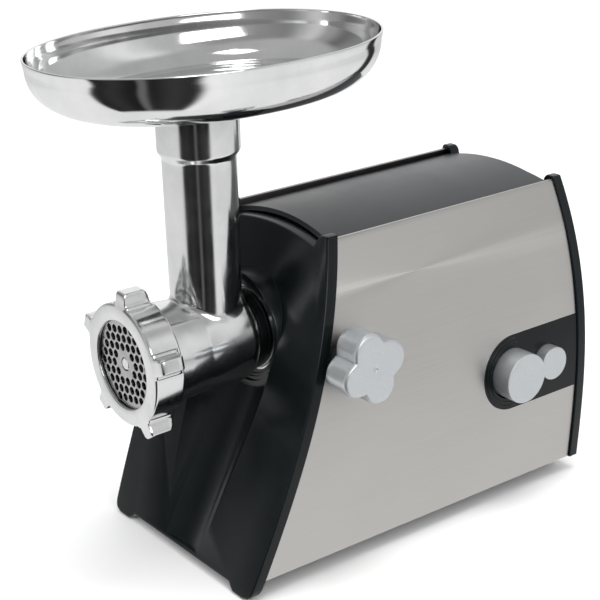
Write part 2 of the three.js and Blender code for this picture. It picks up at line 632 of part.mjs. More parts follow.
// ---------------------------------------------------------------- clamp
// The knob's outline: four round lobes joined by hollows.
function knobShape(shrink) {
  const lobeCentre = KNOB_RADIUS - KNOB_LOBE;
  const points = [];
  for (let i = 0; i < KNOB_CORNERS; i += 1) {
    const fromLobe = Math.PI / 2 * (i % (KNOB_CORNERS / 4)) / (KNOB_CORNERS / 4) - Math.PI / 4;
    const across = lobeCentre * Math.sin(fromLobe);
    const radius = lobeCentre * Math.cos(fromLobe) + Math.sqrt(KNOB_LOBE ** 2 - across ** 2) - shrink;
    const angle = KNOB_TURN + TURN * i / KNOB_CORNERS - Math.PI / 4;
    points.push([radius * Math.cos(angle), radius * Math.sin(angle)]);
  }
  return outline(points);
}

function clampKnob() {
  const geometry = new THREE.ExtrudeGeometry(knobShape(KNOB_CHAMFER), {
    depth: KNOB_FRONT - KNOB_REAR - KNOB_CHAMFER,
    bevelEnabled: true,
    bevelSize: KNOB_CHAMFER,
    bevelThickness: KNOB_CHAMFER,
    bevelSegments: 1,
  });
  geometry.applyMatrix4(ALONG_X);
  geometry.translate(KNOB_REAR, 0, 0);
  const blank = solid(geometry).intersect(block([KNOB_REAR, 200], [-60, 60], [-60, 60]));
  const dimple = turnedX([[0, KNOB_FRONT - 0.6], [1.8, KNOB_FRONT + 0.1], [0, KNOB_FRONT + 0.1]], 12);
  const bore = rodX(clear(CLAMP_SCREW_RADIUS + GAP, 20), 0, KNOB_FRONT - 5, 20);
  return cut(blank, dimple, bore);
}

function clampScrew() {
  const start = PAD_FACE + PAD_THICKNESS + GAP - 3;
  return rodX(CLAMP_SCREW_RADIUS, start, KNOB_FRONT - 5 - GAP, 20);
}

// The pad caps the screw's end and bears on the head's spigot.
function clampPad() {
  const start = PAD_FACE + PAD_THICKNESS - 3;
  const cap = rodX(PAD_RADIUS, PAD_FACE, PAD_FACE + PAD_THICKNESS, 20);
  const seat = rodX(clear(CLAMP_SCREW_RADIUS + RUNNING, 20), start, start + 20, 20);
  return cut(cap, seat);
}

function clampNut() {
  const x0 = SOCKET_BOSS + GAP;
  return cut(rodX(NUT_RADIUS, x0, x0 + NUT_THICKNESS, 6), rodX(clear(CLAMP_SCREW_RADIUS + RUNNING, 20), 0, 100, 20));
}

// The black bush between the steel side and the knob.
function clampCollar() {
  const inner = halfWidth(HEAD_AXIS + BUSH_FLANGE) - PANEL_THICKNESS - GAP;
  const bush = joined(
    rodX(CLAMP_SCREW_RADIUS + 2 - GAP, inner - 8, KNOB_REAR - GAP, 16),
    rodX(BUSH_FLANGE, halfWidth(HEAD_AXIS - BUSH_FLANGE) + GAP, KNOB_REAR - GAP, 32));
  return cut(bush, rodX(clear(CLAMP_SCREW_RADIUS + RUNNING, 20), 0, 100, 20));
}

// ---------------------------------------------------------------- socket and gearbox
// The socket that takes the head's spigot, with a boss for the clamp screw on its right.
function headSocket() {
  const sleeve = turned([
    [0, SOCKET_FRONT], [SOCKET_RADIUS, SOCKET_FRONT], [SOCKET_RADIUS, GEARBOX_FRONT - 5],
    [SOCKET_FLANGE, GEARBOX_FRONT - 5], [SOCKET_FLANGE, GEARBOX_FRONT - GAP], [0, GEARBOX_FRONT - GAP],
  ], 28);
  const boss = moved(rodX(BOSS_RADIUS, SPIGOT_RADIUS, SOCKET_BOSS, 16), 0, CLAMP_Y, 0);
  const bore = rod(clear(SOCKET_BORE, 28), 0, SPIGOT_REAR + 5, 28);
  const padRoom = PAD_FACE + PAD_THICKNESS + PAD_TRAVEL + GAP;
  const padBore = moved(rodX(clear(PAD_RADIUS + RUNNING, 16), 0, padRoom, 16), 0, CLAMP_Y, 0);
  const screwBore = moved(rodX(clear(CLAMP_SCREW_RADIUS + RUNNING, 16), 0, 100, 16), 0, CLAMP_Y, 0);
  return cut(joined(sleeve, boss), bore, padBore, screwBore);
}

function gearboxOutline(inset) {
  const half = GEARBOX_HALF_WIDTH - inset;
  const floor = GEARBOX_FLOOR - HEAD_AXIS + inset;
  const shape = new THREE.Shape();
  shape.moveTo(-half + 8, floor);
  shape.lineTo(half - 8, floor);
  shape.lineTo(half, floor + 8);
  shape.lineTo(half, 0);
  shape.absarc(0, 0, half, 0, Math.PI);
  shape.lineTo(-half, floor + 8);
  return shape;
}

function gearboxHousing() {
  const outer = extrudedY(gearboxOutline(0), GEARBOX_FRONT, GEARBOX_REAR, 14);
  const pocket = extrudedY(gearboxOutline(GEARBOX_WALL), GEARBOX_FRONT + GEARBOX_WALL, GEARBOX_REAR + 1, 14);
  const bushHole = rod(clear(BUSH_RADIUS + GAP, 28), 0, 200, 28);
  return cut(outer, pocket, bushHole);
}

const outputBush = () =>
  ring(clear(OUTPUT_SHAFT_RADIUS + RUNNING, 28), BUSH_RADIUS, GEARBOX_FRONT, GEARBOX_FRONT + GEARBOX_WALL + 1, 28);

// The plate that closes the gearbox carries the motor: a bearing seat and two legs that hold the stator.
function gearboxCover() {
  const y0 = GEARBOX_REAR + GAP;
  const y1 = y0 + GEARBOX_WALL;
  const plate = extrudedY(gearboxOutline(0), y0, y1, 14);
  const seat = moved(ring(clear(BEARING_RADIUS + GAP), BEARING_RADIUS + 3, y1 - 1, y1 + BEARING_WIDTH + 1),
    MOTOR.x, 0, MOTOR.z);
  const hole = moved(rod(clear(MOTOR_SHAFT_RADIUS + 1.5, 16), 0, 300, 16), MOTOR.x, 0, MOTOR.z);
  const legs = [-1, 1].map((side) => motorLeg(side, y1 - 1, STACK_FRONT - GAP));
  return cut(joined(plate, seat, legs), hole);
}

function motorLeg(side, y0, y1) {
  const middle = side * (STATOR_RADIUS - 4) + MOTOR.x;
  return block([middle - 3, middle + 3], [y0, y1], [MOTOR.z - 9, MOTOR.z + 9]);
}

// ---------------------------------------------------------------- gears
// The shafts, seen along Y from the output shaft on the head's axis: { x, z }.
function nextShaft(from, bearing, { pinion, wheel, module }) {
  const distance = module * (pinion + wheel) / 2;
  return { x: from.x + distance * Math.cos(bearing), z: from.z + distance * Math.sin(bearing) };
}

const OUTPUT = { x: 0, z: 0 };
const SHAFT_2 = nextShaft(OUTPUT, SHAFT_2_BEARING, STAGES[2]);
const SHAFT_1 = nextShaft(SHAFT_2, SHAFT_1_BEARING, STAGES[1]);
const MOTOR = nextShaft(SHAFT_1, MOTOR_BEARING, STAGES[0]);

// A spur gear's outline with straight-flanked teeth, one tooth (or one gap) centred on the given direction.
function gearOutline(teeth, module, direction, startsWithGap) {
  const pitchRadius = module * teeth / 2;
  const tip = pitchRadius + 0.85 * module;
  const root = pitchRadius - 1.15 * module;
  const pitchHalf = (Math.PI / 2 - GEAR_PLAY) * module / 2;
  const tipHalf = (pitchHalf - 0.85 * module * Math.tan(FLANK)) / tip;
  const rootHalf = (pitchHalf + 0.7 * module * Math.tan(FLANK)) / root;
  const points = [];
  for (let i = 0; i < teeth; i += 1) {
    const middle = direction + TURN * (i + (startsWithGap ? 0.5 : 0)) / teeth;
    for (const [radius, angle] of [[root, -rootHalf], [tip, -tipHalf], [tip, tipHalf], [root, rootHalf]]) {
      points.push([radius * Math.cos(middle + angle), radius * Math.sin(middle + angle)]);
    }
  }
  return outline(points);
}

function gear(teeth, { module, front, face }, direction, startsWithGap, faceTrim = 0) {
  return extrudedY(gearOutline(teeth, module, direction, startsWithGap), front + faceTrim, front + face - faceTrim);
}

// A wheel with a pinion on the same hub, running on a fixed pin.
function compoundGear(wheelStage, wheelDirection, pinionStage, pinionDirection) {
  const wheel = gear(wheelStage.wheel, wheelStage, wheelDirection, true, 0.5);
  const pinion = gear(pinionStage.pinion, pinionStage, pinionDirection, false);
  const link = rod(pinionStage.module * pinionStage.pinion / 2 - 1.5 * pinionStage.module,
    pinionStage.front + 1, wheelStage.front + 1, 20);
  const bore = rod(clear(GEAR_SHAFT_RADIUS + GAP, 16), 0, 200, 16);
  return cut(joined(wheel, pinion, link), bore);
}

const gearPin = () => rod(GEAR_SHAFT_RADIUS, GEARBOX_FRONT + GEARBOX_WALL + GAP, GEARBOX_REAR, 16);

function outputGear() {
  const blank = gear(STAGES[2].wheel, STAGES[2], SHAFT_2_BEARING, true, 0.5);
  return cut(blank, rod(clear(OUTPUT_SHAFT_RADIUS + GAP, 28), 0, 200, 28));
}

// The output shaft: its square socket drives the auger's coupling.
function outputShaft() {
  const half = DRIVE_SQUARE / 2 + RUNNING;
  const shaft = rod(OUTPUT_SHAFT_RADIUS, SHAFT_NOSE, GEARBOX_REAR - 1, 28);
  return cut(shaft, block([-half, half], [0, SHAFT_NOSE + DRIVE_LENGTH + 1], [-half, half]));
}

// ---------------------------------------------------------------- motor, modelled about its own shaft
// The shaft's thin tip carries the pinion.
function armatureShaft() {
  const step = STAGES[0].front + STAGES[0].face + GAP;
  const tip = STAGES[0].front - 1;
  const end = BRACKET_FRONT + BRACKET_THICKNESS + 3;
  return turned([[0, tip], [SHAFT_TIP_RADIUS, tip], [SHAFT_TIP_RADIUS, step], [MOTOR_SHAFT_RADIUS, step],
    [MOTOR_SHAFT_RADIUS, end], [0, end]], 16);
}

function pushedOn(body) {
  return cut(body, rod(clear(MOTOR_SHAFT_RADIUS + GAP, 16), 0, 300, 16));
}

function motorPinion() {
  const teeth = gear(STAGES[0].pinion, STAGES[0], MOTOR_BEARING + Math.PI, false);
  return cut(teeth, rod(clear(SHAFT_TIP_RADIUS + GAP, 12), 0, 300, 12));
}

function armatureCore() {
  const y1 = STACK_FRONT + STACK_LENGTH;
  const stack = rod(ARMATURE_RADIUS, STACK_FRONT, y1, 24);
  const windings = turned([
    [0, STACK_FRONT - 6], [12, STACK_FRONT - 6], [ARMATURE_RADIUS - 3, STACK_FRONT - 2],
    [ARMATURE_RADIUS - 3, y1 + 2], [12, y1 + 5], [0, y1 + 5],
  ], 24);
  const slots = Array.from({ length: ARMATURE_SLOTS }, (_, i) =>
    block([-1.1, 1.1], [STACK_FRONT - 1, y1 + 1], [ARMATURE_RADIUS - 2.5, ARMATURE_RADIUS + 2])
      .rotate([0, 360 * i / ARMATURE_SLOTS, 0]));
  return pushedOn(joined(cut(stack, slots), windings));
}

const commutator = () =>
  pushedOn(rod(COMMUTATOR_RADIUS, COMMUTATOR_FRONT, COMMUTATOR_FRONT + COMMUTATOR_LENGTH, 24));

function coolingFan() {
  const y1 = FAN_FRONT + FAN_LENGTH;
  const hub = rod(9, FAN_FRONT, y1, 16);
  const disc = rod(FAN_RADIUS, y1 - 2, y1, 24);
  const blades = Array.from({ length: FAN_BLADES }, (_, i) =>
    block([-0.9, 0.9], [FAN_FRONT, y1 - 1], [7, FAN_RADIUS - 1.5]).rotate([0, 360 * i / FAN_BLADES, 0]));
  return pushedOn(joined(hub, disc, blades));
}

// Two poles left and right of the armature, joined by a yoke; the coils lie above and below each pole.
function statorCore() {
  const y1 = STACK_FRONT + STACK_LENGTH;
  const yoke = ring(COIL_WINDOW, STATOR_RADIUS, STACK_FRONT, y1, 28);
  const bore = rod(clear(ARMATURE_RADIUS + AIR_GAP, 28), 0, 300, 28);
  const poles = block([-STATOR_RADIUS + 3, STATOR_RADIUS - 3], [STACK_FRONT, y1], [-POLE_HALF, POLE_HALF]);
  return cut(joined(yoke, poles), bore);
}

function fieldCoil(side) {
  const reach = 5;
  const y0 = STACK_FRONT - reach;
  const y1 = STACK_FRONT + STACK_LENGTH + reach;
  const inside = ARMATURE_RADIUS + AIR_GAP + 0.8;
  const outer = block([15, COIL_WINDOW - 1], [y0, y1], [-18, 18]);
  const pole = block([0, 60], [STACK_FRONT - GAP, STACK_FRONT + STACK_LENGTH + GAP],
    [-POLE_HALF - GAP, POLE_HALF + GAP]);
  const keep = ring(clear(inside, 28), (COIL_WINDOW - GAP) * Math.cos(Math.PI / 28), y0 - 1, y1 + 1, 28);
  const coil = cut(outer, pole).intersect(keep);
  return side > 0 ? coil : coil.mirror([1, 0, 0]);
}

const bearing = (y0) =>
  ring(clear(MOTOR_SHAFT_RADIUS + RUNNING, 16), BEARING_RADIUS, y0, y0 + BEARING_WIDTH, 24);

// The rear bracket: a bar across the motor with a bearing seat and two legs down to the stator.
function rearBracket() {
  const y1 = BRACKET_FRONT + BRACKET_THICKNESS;
  const reach = STATOR_RADIUS - 1;
  const bar = block([-reach, reach], [BRACKET_FRONT, y1], [-9, 9]);
  const boss = rod(BEARING_RADIUS + 3, REAR_BEARING - 0.5, y1, 28);
  const seat = rod(clear(BEARING_RADIUS + GAP, 24), 0, REAR_BEARING + BEARING_WIDTH + GAP, 24);
  const hole = rod(clear(MOTOR_SHAFT_RADIUS + 1, 16), 0, 300, 16);
  const legs = [-1, 1].map((side) => {
    const middle = side * (STATOR_RADIUS - 4);
    return block([middle - 3, middle + 3], [STACK_FRONT + STACK_LENGTH + GAP, y1], [-9, 9]);
  });
  return cut(joined(bar, boss, legs), seat, hole);
}

function brush(side) {
  const middle = COMMUTATOR_FRONT + COMMUTATOR_LENGTH / 2;
  const inner = COMMUTATOR_RADIUS + 0.5;
  const stick = block([inner, inner + 14], [middle - 3, middle + 3], [-2.5, 2.5]);
  return side > 0 ? stick : stick.mirror([1, 0, 0]);
}

// ---------------------------------------------------------------- head, modelled about the auger's axis
function headCasting() {
  const barrel = turned([
    [0, MOUTH_FRONT], [THREAD_RADIUS, MOUTH_FRONT], [THREAD_RADIUS, THREAD_REAR],
    [BARREL_NECK_RADIUS, THREAD_REAR + 1.5], [BARREL_RADIUS, -16], [BARREL_RADIUS, BARREL_REAR - 5],
    [BARREL_RADIUS - 2, BARREL_REAR - 1.5], [SPIGOT_RADIUS, BARREL_REAR], [SPIGOT_RADIUS, SPIGOT_REAR],
    [0, SPIGOT_REAR],
  ], 28);
  const tube = turnedZ([
    [0, 4], [TUBE_RADIUS_LOW, 4], [TUBE_RADIUS_LOW, 45], [TUBE_RADIUS_HIGH, BELL_START - HEAD_AXIS],
    [BELL_RADIUS, BELL_FULL - HEAD_AXIS], [BELL_RADIUS, TUBE_TOP - HEAD_AXIS], [0, TUBE_TOP - HEAD_AXIS],
  ], 28);
  const chamber = turned([
    [0, MOUTH_FRONT - 1], [clear(PLATE_RADIUS + GAP, 28), MOUTH_FRONT - 1],
    [clear(PLATE_RADIUS + GAP, 28), CHAMBER_FRONT], [CHAMBER_RADIUS, CHAMBER_FRONT],
    [CHAMBER_RADIUS, CHAMBER_REAR], [clear(AUGER_SHAFT + RUNNING, 28), CHAMBER_REAR],
    [clear(AUGER_SHAFT + RUNNING, 28), SPIGOT_REAR + 1], [0, SPIGOT_REAR + 1],
  ], 28);
  const throat = turnedZ([
    [0, 4], [THROAT_RADIUS, 4], [THROAT_RADIUS, NECK_FLOOR], [NECK_BORE, NECK_FLOOR],
    [NECK_BORE, TUBE_TOP - HEAD_AXIS + 1], [0, TUBE_TOP - HEAD_AXIS + 1],
  ], 28);
  const keyHole = rodZ(clear(KEY_RADIUS + GAP, 8), PLATE_RADIUS - 4, THREAD_RADIUS + 2, 8);
  return cut(joined(barrel, tube), chamber, throat, moved(keyHole, 0, KEY_Y, 0));
}

// The key that stops the plate from turning: a short pin through the mouth's wall into the plate's notch.
const plateKey = () => moved(rodZ(KEY_RADIUS, KEY_INNER, THREAD_RADIUS - 0.2, 12), 0, KEY_Y, 0);

function plateHoleCentres() {
  const reach = Math.ceil(PLATE_HOLE_FIELD / PLATE_HOLE_PITCH) + 1;
  const centres = [];
  for (let row = -reach; row <= reach; row += 1) {
    for (let column = -2 * reach; column <= 2 * reach; column += 1) {
      const at = new THREE.Vector2((column + row / 2) * PLATE_HOLE_PITCH, row * PLATE_HOLE_PITCH * Math.sqrt(0.75));
      at.rotateAround(new THREE.Vector2(), PLATE_LATTICE_TURN);
      if (at.length() > PLATE_HUB_RADIUS && at.length() < PLATE_HOLE_FIELD) centres.push(at);
    }
  }
  return centres;
}

function holePath(radius, x, y, corners) {
  const path = new THREE.Path();
  path.setFromPoints(Array.from({ length: corners }, (_, i) => new THREE.Vector2(
    x + radius * Math.cos(-TURN * i / corners), y + radius * Math.sin(-TURN * i / corners))));
  return path;
}

function grindingPlate() {
  const disc = circle(PLATE_RADIUS);
  disc.holes = plateHoleCentres().map(({ x, y }) => holePath(PLATE_HOLE_RADIUS, x, y, 6));
  disc.holes.push(holePath(clear(PIN_RADIUS + RUNNING, 16), 0, 0, 16));
  const half = KEY_RADIUS + RUNNING;
  const notch = block([-half, half], [PLATE_FRONT - 1, PLATE_REAR + 1], [KEY_INNER - RUNNING, PLATE_RADIUS + 5]);
  return cut(extrudedY(disc, PLATE_FRONT, PLATE_REAR, 20), notch);
}

// The ring nut: a short threaded sleeve with a lip in front and grip lugs round it.
function ringNut() {
  const y1 = RING_FRONT + RING_LENGTH;
  const bore = clear(THREAD_RADIUS + RUNNING, 30);
  const sleeve = turned([
    [RING_OPENING, RING_FRONT], [RING_RADIUS - 1.5, RING_FRONT], [RING_RADIUS, RING_FRONT + 1.5],
    [RING_RADIUS, y1 - 1], [RING_RADIUS - 1, y1], [bore, y1], [bore, RING_FRONT + RING_LIP],
    [RING_OPENING + 0.8, RING_FRONT + RING_LIP],
  ], 30);
  const half = RING_LUG_WIDTH / 2;
  const lug = new THREE.Shape();
  lug.moveTo(RING_RADIUS - 2, -half);
  lug.lineTo(RING_LUG_RADIUS - 3, -half);
  lug.quadraticCurveTo(RING_LUG_RADIUS, -half, RING_LUG_RADIUS, -half + 3);
  lug.lineTo(RING_LUG_RADIUS, half - 3);
  lug.quadraticCurveTo(RING_LUG_RADIUS, half, RING_LUG_RADIUS - 3, half);
  lug.lineTo(RING_RADIUS - 2, half);
  const lugSolid = extrudedY(lug, RING_FRONT + 0.8, y1 - 1.5, 3);
  const lugs = Array.from({ length: RING_LUGS }, (_, i) =>
    lugSolid.rotate([0, -THREE.MathUtils.radToDeg(RING_LUG_TURN) - 360 * i / RING_LUGS, 0]));
  return joined(sleeve, lugs);
}

// The auger's flight: a lobed section turned about the axis as it is drawn out along it.
function augerFlight(y0, y1) {
  const rim = CHAMBER_RADIUS - 0.7;
  const half = Math.PI * AUGER_FLIGHT / AUGER_PITCH;
  const flank = half * 1.55;
  const section = [
    [AUGER_CORE - 1, -flank * 1.9], [AUGER_CORE + 1, -flank * 1.3], [(rim + AUGER_CORE) / 2, -flank],
    [rim, -half], [rim, 0], [rim, half],
    [(rim + AUGER_CORE) / 2, flank], [AUGER_CORE + 1, flank * 1.3], [AUGER_CORE - 1, flank * 1.9],
  ].map(([r, a]) => [r * Math.cos(a), r * Math.sin(a)]);
  const turns = (y1 - y0) / AUGER_PITCH;
  const steps = Math.ceil(turns * TURN / AUGER_STEP);
  const geometry = extruded(outline(section), y1 - y0, 1, steps);
  const position = geometry.getAttribute('position');
  const point = new THREE.Vector3();
  const axis = new THREE.Vector3(0, 0, 1);
  for (let i = 0; i < position.count; i += 1) {
    point.fromBufferAttribute(position, i);
    point.applyAxisAngle(axis, TURN * point.z / AUGER_PITCH);
    position.setXYZ(i, point.x, point.y, point.z);
  }
  geometry.applyMatrix4(ALONG_Y);
  geometry.translate(0, y1, 0);
  return solid(geometry);
}

function auger() {
  const flightRear = WASHER_FRONT - GAP - 1.5;
  const core = turned([
    [0, PLATE_FRONT + 0.2], [PIN_RADIUS - 0.6, PLATE_FRONT + 0.2], [PIN_RADIUS, PLATE_FRONT + 0.8],
    [PIN_RADIUS, FLIGHT_FRONT], [AUGER_CORE, FLIGHT_FRONT], [AUGER_CORE + 2, flightRear],
    [AUGER_CORE + 5, flightRear], [AUGER_CORE + 5, WASHER_FRONT - GAP], [AUGER_SHAFT, WASHER_FRONT - GAP],
    [AUGER_SHAFT, SPIGOT_REAR - 4], [0, SPIGOT_REAR - 4],
  ], 24);
  const half = KNIFE_SQUARE / 2;
  const square = block([-half, half], [KNIFE_FRONT + 0.3, FLIGHT_FRONT + 2], [-half, half]);
  return joined(core, square, augerFlight(FLIGHT_FRONT, flightRear + 0.5));
}

const augerWasher = () =>
  ring(clear(AUGER_SHAFT + RUNNING, 24), WASHER_RADIUS, WASHER_FRONT, CHAMBER_REAR - GAP, 24);

// The nylon coupling on the auger's tail, which fits the output shaft's socket.
function augerCoupling() {
  const half = DRIVE_SQUARE / 2;
  const y0 = SPIGOT_REAR - 4 + GAP;
  const hub = rod(AUGER_SHAFT - 0.4, y0, SPIGOT_REAR - 0.5, 24);
  const tail = block([-half, half], [y0 + 1, SHAFT_NOSE + DRIVE_LENGTH], [-half, half]);
  return joined(hub, tail);
}

// The four-armed knife.
function cuttingBlade() {
  const arms = [0, 1].map((i) => extrudedY(outline([
    [-KNIFE_RADIUS, -KNIFE_ARM / 2 + 1], [-KNIFE_ARM / 2, -KNIFE_ARM / 2 - 1], [KNIFE_ARM / 2, -KNIFE_ARM / 2],
    [KNIFE_RADIUS, -KNIFE_ARM / 2 + 1], [KNIFE_RADIUS, KNIFE_ARM / 2 - 3], [KNIFE_ARM / 2, KNIFE_ARM / 2 + 1],
    [-KNIFE_ARM / 2, KNIFE_ARM / 2], [-KNIFE_RADIUS, KNIFE_ARM / 2 - 3],
  ]), KNIFE_FRONT, KNIFE_REAR).rotate([0, 90 * i, 0]));
  const half = KNIFE_SQUARE / 2 + GAP;
  return cut(joined(arms, rod(KNIFE_HUB, KNIFE_FRONT, KNIFE_REAR, 24)),
    block([-half, half], [KNIFE_FRONT - 1, KNIFE_REAR + 1], [-half, half]));
}

// ---------------------------------------------------------------- tray, modelled about the tube's axis
// A bowl turned as a round dish, then drawn out into a squared oval.
function trayDish(inset, floor, rim, toAxis) {
  const outerRadius = TRAY_HALF_X - inset;
  const corner = heights(0, Math.PI / 2, 4).map((angle) => [
    outerRadius - TRAY_DRAFT - TRAY_CORNER_WIDE * (1 - Math.cos(angle)),
    floor + (TRAY_CORNER_TALL - inset) * (1 - Math.sin(angle)),
  ]);
  const profile = [[0, rim], [outerRadius, rim], ...corner, [toAxis, floor - TRAY_SINK], [0, floor - TRAY_SINK]];
  const geometry = new THREE.LatheGeometry(profile.map(([r, z]) => new THREE.Vector2(r, z)), 36);
  const position = geometry.getAttribute('position');
  for (let i = 0; i < position.count; i += 1) {
    const radius = Math.hypot(position.getX(i), position.getZ(i));
    const angle = Math.atan2(position.getZ(i), position.getX(i));
    const [c, s] = [Math.cos(angle), Math.sin(angle)];
    const power = 2 / TRAY_SQUARENESS;
    position.setXYZ(i,
      radius * Math.sign(c) * Math.abs(c) ** power,
      radius * (TRAY_HALF_Y / TRAY_HALF_X) * Math.sign(s) * Math.abs(s) ** power,
      position.getY(i));
  }
  geometry.translate(0, TRAY_CENTRE_Y, 0);
  return solid(geometry);
}

function hopperTray() {
  const floor = TRAY_RIM - TRAY_DEPTH;
  const dish = trayDish(0, floor, TRAY_RIM, 34);
  const hollow = trayDish(TRAY_WALL, floor + TRAY_WALL, TRAY_RIM + 3, 34);
  const neckRadius = NECK_BORE - RUNNING;
  const seat = BELL_RADIUS + TRAY_SEAT;
  const neck = turnedZ([
    [0, TUBE_TOP - NECK_LENGTH], [neckRadius, TUBE_TOP - NECK_LENGTH], [neckRadius, TUBE_TOP + GAP],
    [seat, TUBE_TOP + GAP], [seat, floor + TRAY_WALL / 2], [0, floor + TRAY_WALL / 2],
  ], 28);
  const throat = rodZ(THROAT_RADIUS + 0.2, TUBE_TOP - NECK_LENGTH - 1, TRAY_RIM, 28);
  return cut(joined(dish, neck), hollow, throat);
}

// ---------------------------------------------------------------- putting it together
const casing = groupAt(0, 0, 0, [
  piece('front_cover', frontCover(), BLACK_GLOSS),
  piece('rear_cover', rearCover(), BLACK_GLOSS),
  piece('left_side_panel', leftPanel(), STEEL_SHEET),
  piece('right_side_panel', rightPanel(), STEEL_SHEET),
  piece('top_cover', topCover(), BLACK_SATIN),
  piece('base_plate', basePlate(), BLACK_MATT),
  piece('cord_gland', cordGland(), RUBBER),
  ...FEET.map(([name, x, y]) => {
    const mesh = piece(name, foot(), RUBBER);
    mesh.position.set(x, y, 0);
    return mesh;
  }),
]);

function controlsFor(prefix, spec) {
  const pieces = [
    piece(`${prefix}_button`, button(spec), SATIN_SILVER),
    piece(`${prefix}_spring`, buttonSpring(spec), TOOL_STEEL),
  ];
  return groupAt(0, spec.y, CONTROL_Z, pieces);
}

const controls = groupAt(0, 0, 0, [
  piece('control_panel', controlPanel(), BLACK_GLOSS),
  piece('on_off_switch', switchBody(ON_OFF.y), BLACK_MATT),
  piece('reverse_switch', switchBody(REVERSE.y), BLACK_MATT),
  controlsFor('on_off', ON_OFF),
  controlsFor('reverse', REVERSE),
]);

const clamp = groupAt(0, CLAMP_Y, HEAD_AXIS, [
  piece('clamp_knob', clampKnob(), SATIN_SILVER),
  piece('clamp_screw', clampScrew(), ZINC),
  piece('clamp_pad', clampPad(), NYLON),
  piece('clamp_nut', clampNut(), ZINC),
  piece('clamp_collar', clampCollar(), BLACK_SATIN),
]);

const head = groupAt(0, 0, HEAD_AXIS, [
  piece('head_casting', headCasting(), CAST_ALUMINIUM),
  piece('plate_key', plateKey(), TOOL_STEEL),
  piece('ring_nut', ringNut(), CAST_ALUMINIUM),
  piece('grinding_plate', grindingPlate(), TOOL_STEEL),
  piece('cutting_blade', cuttingBlade(), TOOL_STEEL),
  piece('auger', auger(), CAST_ALUMINIUM),
  piece('auger_washer', augerWasher(), NYLON),
  piece('auger_coupling', augerCoupling(), NYLON),
]);

const tray = groupAt(0, 0, 0, [piece('hopper_tray', hopperTray(), SPUN_ALUMINIUM)]);

const gearbox = groupAt(0, 0, HEAD_AXIS, [
  piece('head_socket', headSocket(), CAST_ALUMINIUM),
  piece('gearbox_housing', gearboxHousing(), ZINC),
  piece('gearbox_cover', gearboxCover(), ZINC),
  piece('output_bush', outputBush(), COPPER),
  piece('output_shaft', outputShaft(), TOOL_STEEL),
  piece('output_gear', outputGear(), NYLON),
  groupAt(SHAFT_2.x, 0, SHAFT_2.z, [
    piece('gear_2', compoundGear(STAGES[1], SHAFT_1_BEARING, STAGES[2], SHAFT_2_BEARING + Math.PI), NYLON),
    piece('gear_2_pin', gearPin(), TOOL_STEEL),
  ]),
  groupAt(SHAFT_1.x, 0, SHAFT_1.z, [
    piece('gear_1', compoundGear(STAGES[0], MOTOR_BEARING, STAGES[1], SHAFT_1_BEARING + Math.PI), NYLON),
    piece('gear_1_pin', gearPin(), TOOL_STEEL),
  ]),
]);

const motor = groupAt(MOTOR.x, 0, HEAD_AXIS + MOTOR.z, [
  piece('motor_pinion', motorPinion(), TOOL_STEEL),
  piece('armature_shaft', armatureShaft(), TOOL_STEEL),
  piece('armature_core', armatureCore(), LAMINATION),
  piece('commutator', commutator(), COPPER),
  piece('cooling_fan', coolingFan(), BLACK_MATT),
  piece('stator_core', statorCore(), LAMINATION),
  piece('field_coil_left', fieldCoil(-1), COPPER),
  piece('field_coil_right', fieldCoil(1), COPPER),
  piece('front_bearing', bearing(FRONT_BEARING), TOOL_STEEL),
  piece('rear_bearing', bearing(REAR_BEARING), TOOL_STEEL),
  piece('motor_bracket', rearBracket(), ZINC),
  piece('brush_left', brush(-1), CARBON),
  piece('brush_right', brush(1), CARBON),
]);

const electronics = groupAt(0, 0, 0, [
  piece('circuit_board', block([BOARD.outside - BOARD.thickness, BOARD.outside], [BOARD.front, BOARD.rear],
    [BOARD.bottom, BOARD.top]), BOARD_GREEN),
]);

const grinder = new THREE.Group();
grinder.add(casing, controls, clamp, head, tray, gearbox, motor, electronics);
grinder.updateMatrixWorld(true);
const box = new THREE.Box3().setFromObject(grinder, true);
const centre = box.getCenter(new THREE.Vector3());
grinder.position.set(-centre.x, -centre.y, -box.min.z);

export default grinder;
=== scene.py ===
# %% [markdown]
# # An electric meat grinder
# The grinder stands on a worktop: a motor housing with brushed steel sides and glossy black covers, a cast
# head with an upright feed tube, an oval tray on top, a lugged ring nut in front, and a clamp knob and two
# push buttons on the right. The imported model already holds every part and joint. Blender can either dress
# those faceted solids or rebuild what shows. Here the shapes that show are rebuilt with many more faces,
# because polished metal gives every facet away, and the inner parts keep their own solids with better
# finishes.

# %% Load the model
import json
import math
import bmesh
import bpy
from mathutils import Matrix, Vector

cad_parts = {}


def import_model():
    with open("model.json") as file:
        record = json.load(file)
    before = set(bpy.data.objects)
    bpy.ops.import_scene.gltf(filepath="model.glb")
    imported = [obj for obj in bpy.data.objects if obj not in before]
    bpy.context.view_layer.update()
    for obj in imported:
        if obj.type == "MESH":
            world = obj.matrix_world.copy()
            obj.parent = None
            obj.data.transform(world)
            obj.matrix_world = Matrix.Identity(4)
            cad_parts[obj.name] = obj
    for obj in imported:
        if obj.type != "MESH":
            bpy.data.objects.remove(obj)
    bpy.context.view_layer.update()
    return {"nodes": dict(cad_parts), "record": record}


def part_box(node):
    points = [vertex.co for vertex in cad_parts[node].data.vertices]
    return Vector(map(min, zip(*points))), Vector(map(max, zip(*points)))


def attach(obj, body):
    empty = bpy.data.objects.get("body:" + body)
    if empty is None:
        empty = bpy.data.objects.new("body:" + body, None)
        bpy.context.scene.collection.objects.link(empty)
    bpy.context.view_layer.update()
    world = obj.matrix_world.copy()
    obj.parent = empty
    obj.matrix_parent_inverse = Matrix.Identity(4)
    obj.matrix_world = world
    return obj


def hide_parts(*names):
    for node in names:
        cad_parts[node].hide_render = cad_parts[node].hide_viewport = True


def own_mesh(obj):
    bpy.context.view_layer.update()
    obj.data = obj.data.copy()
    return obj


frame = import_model()

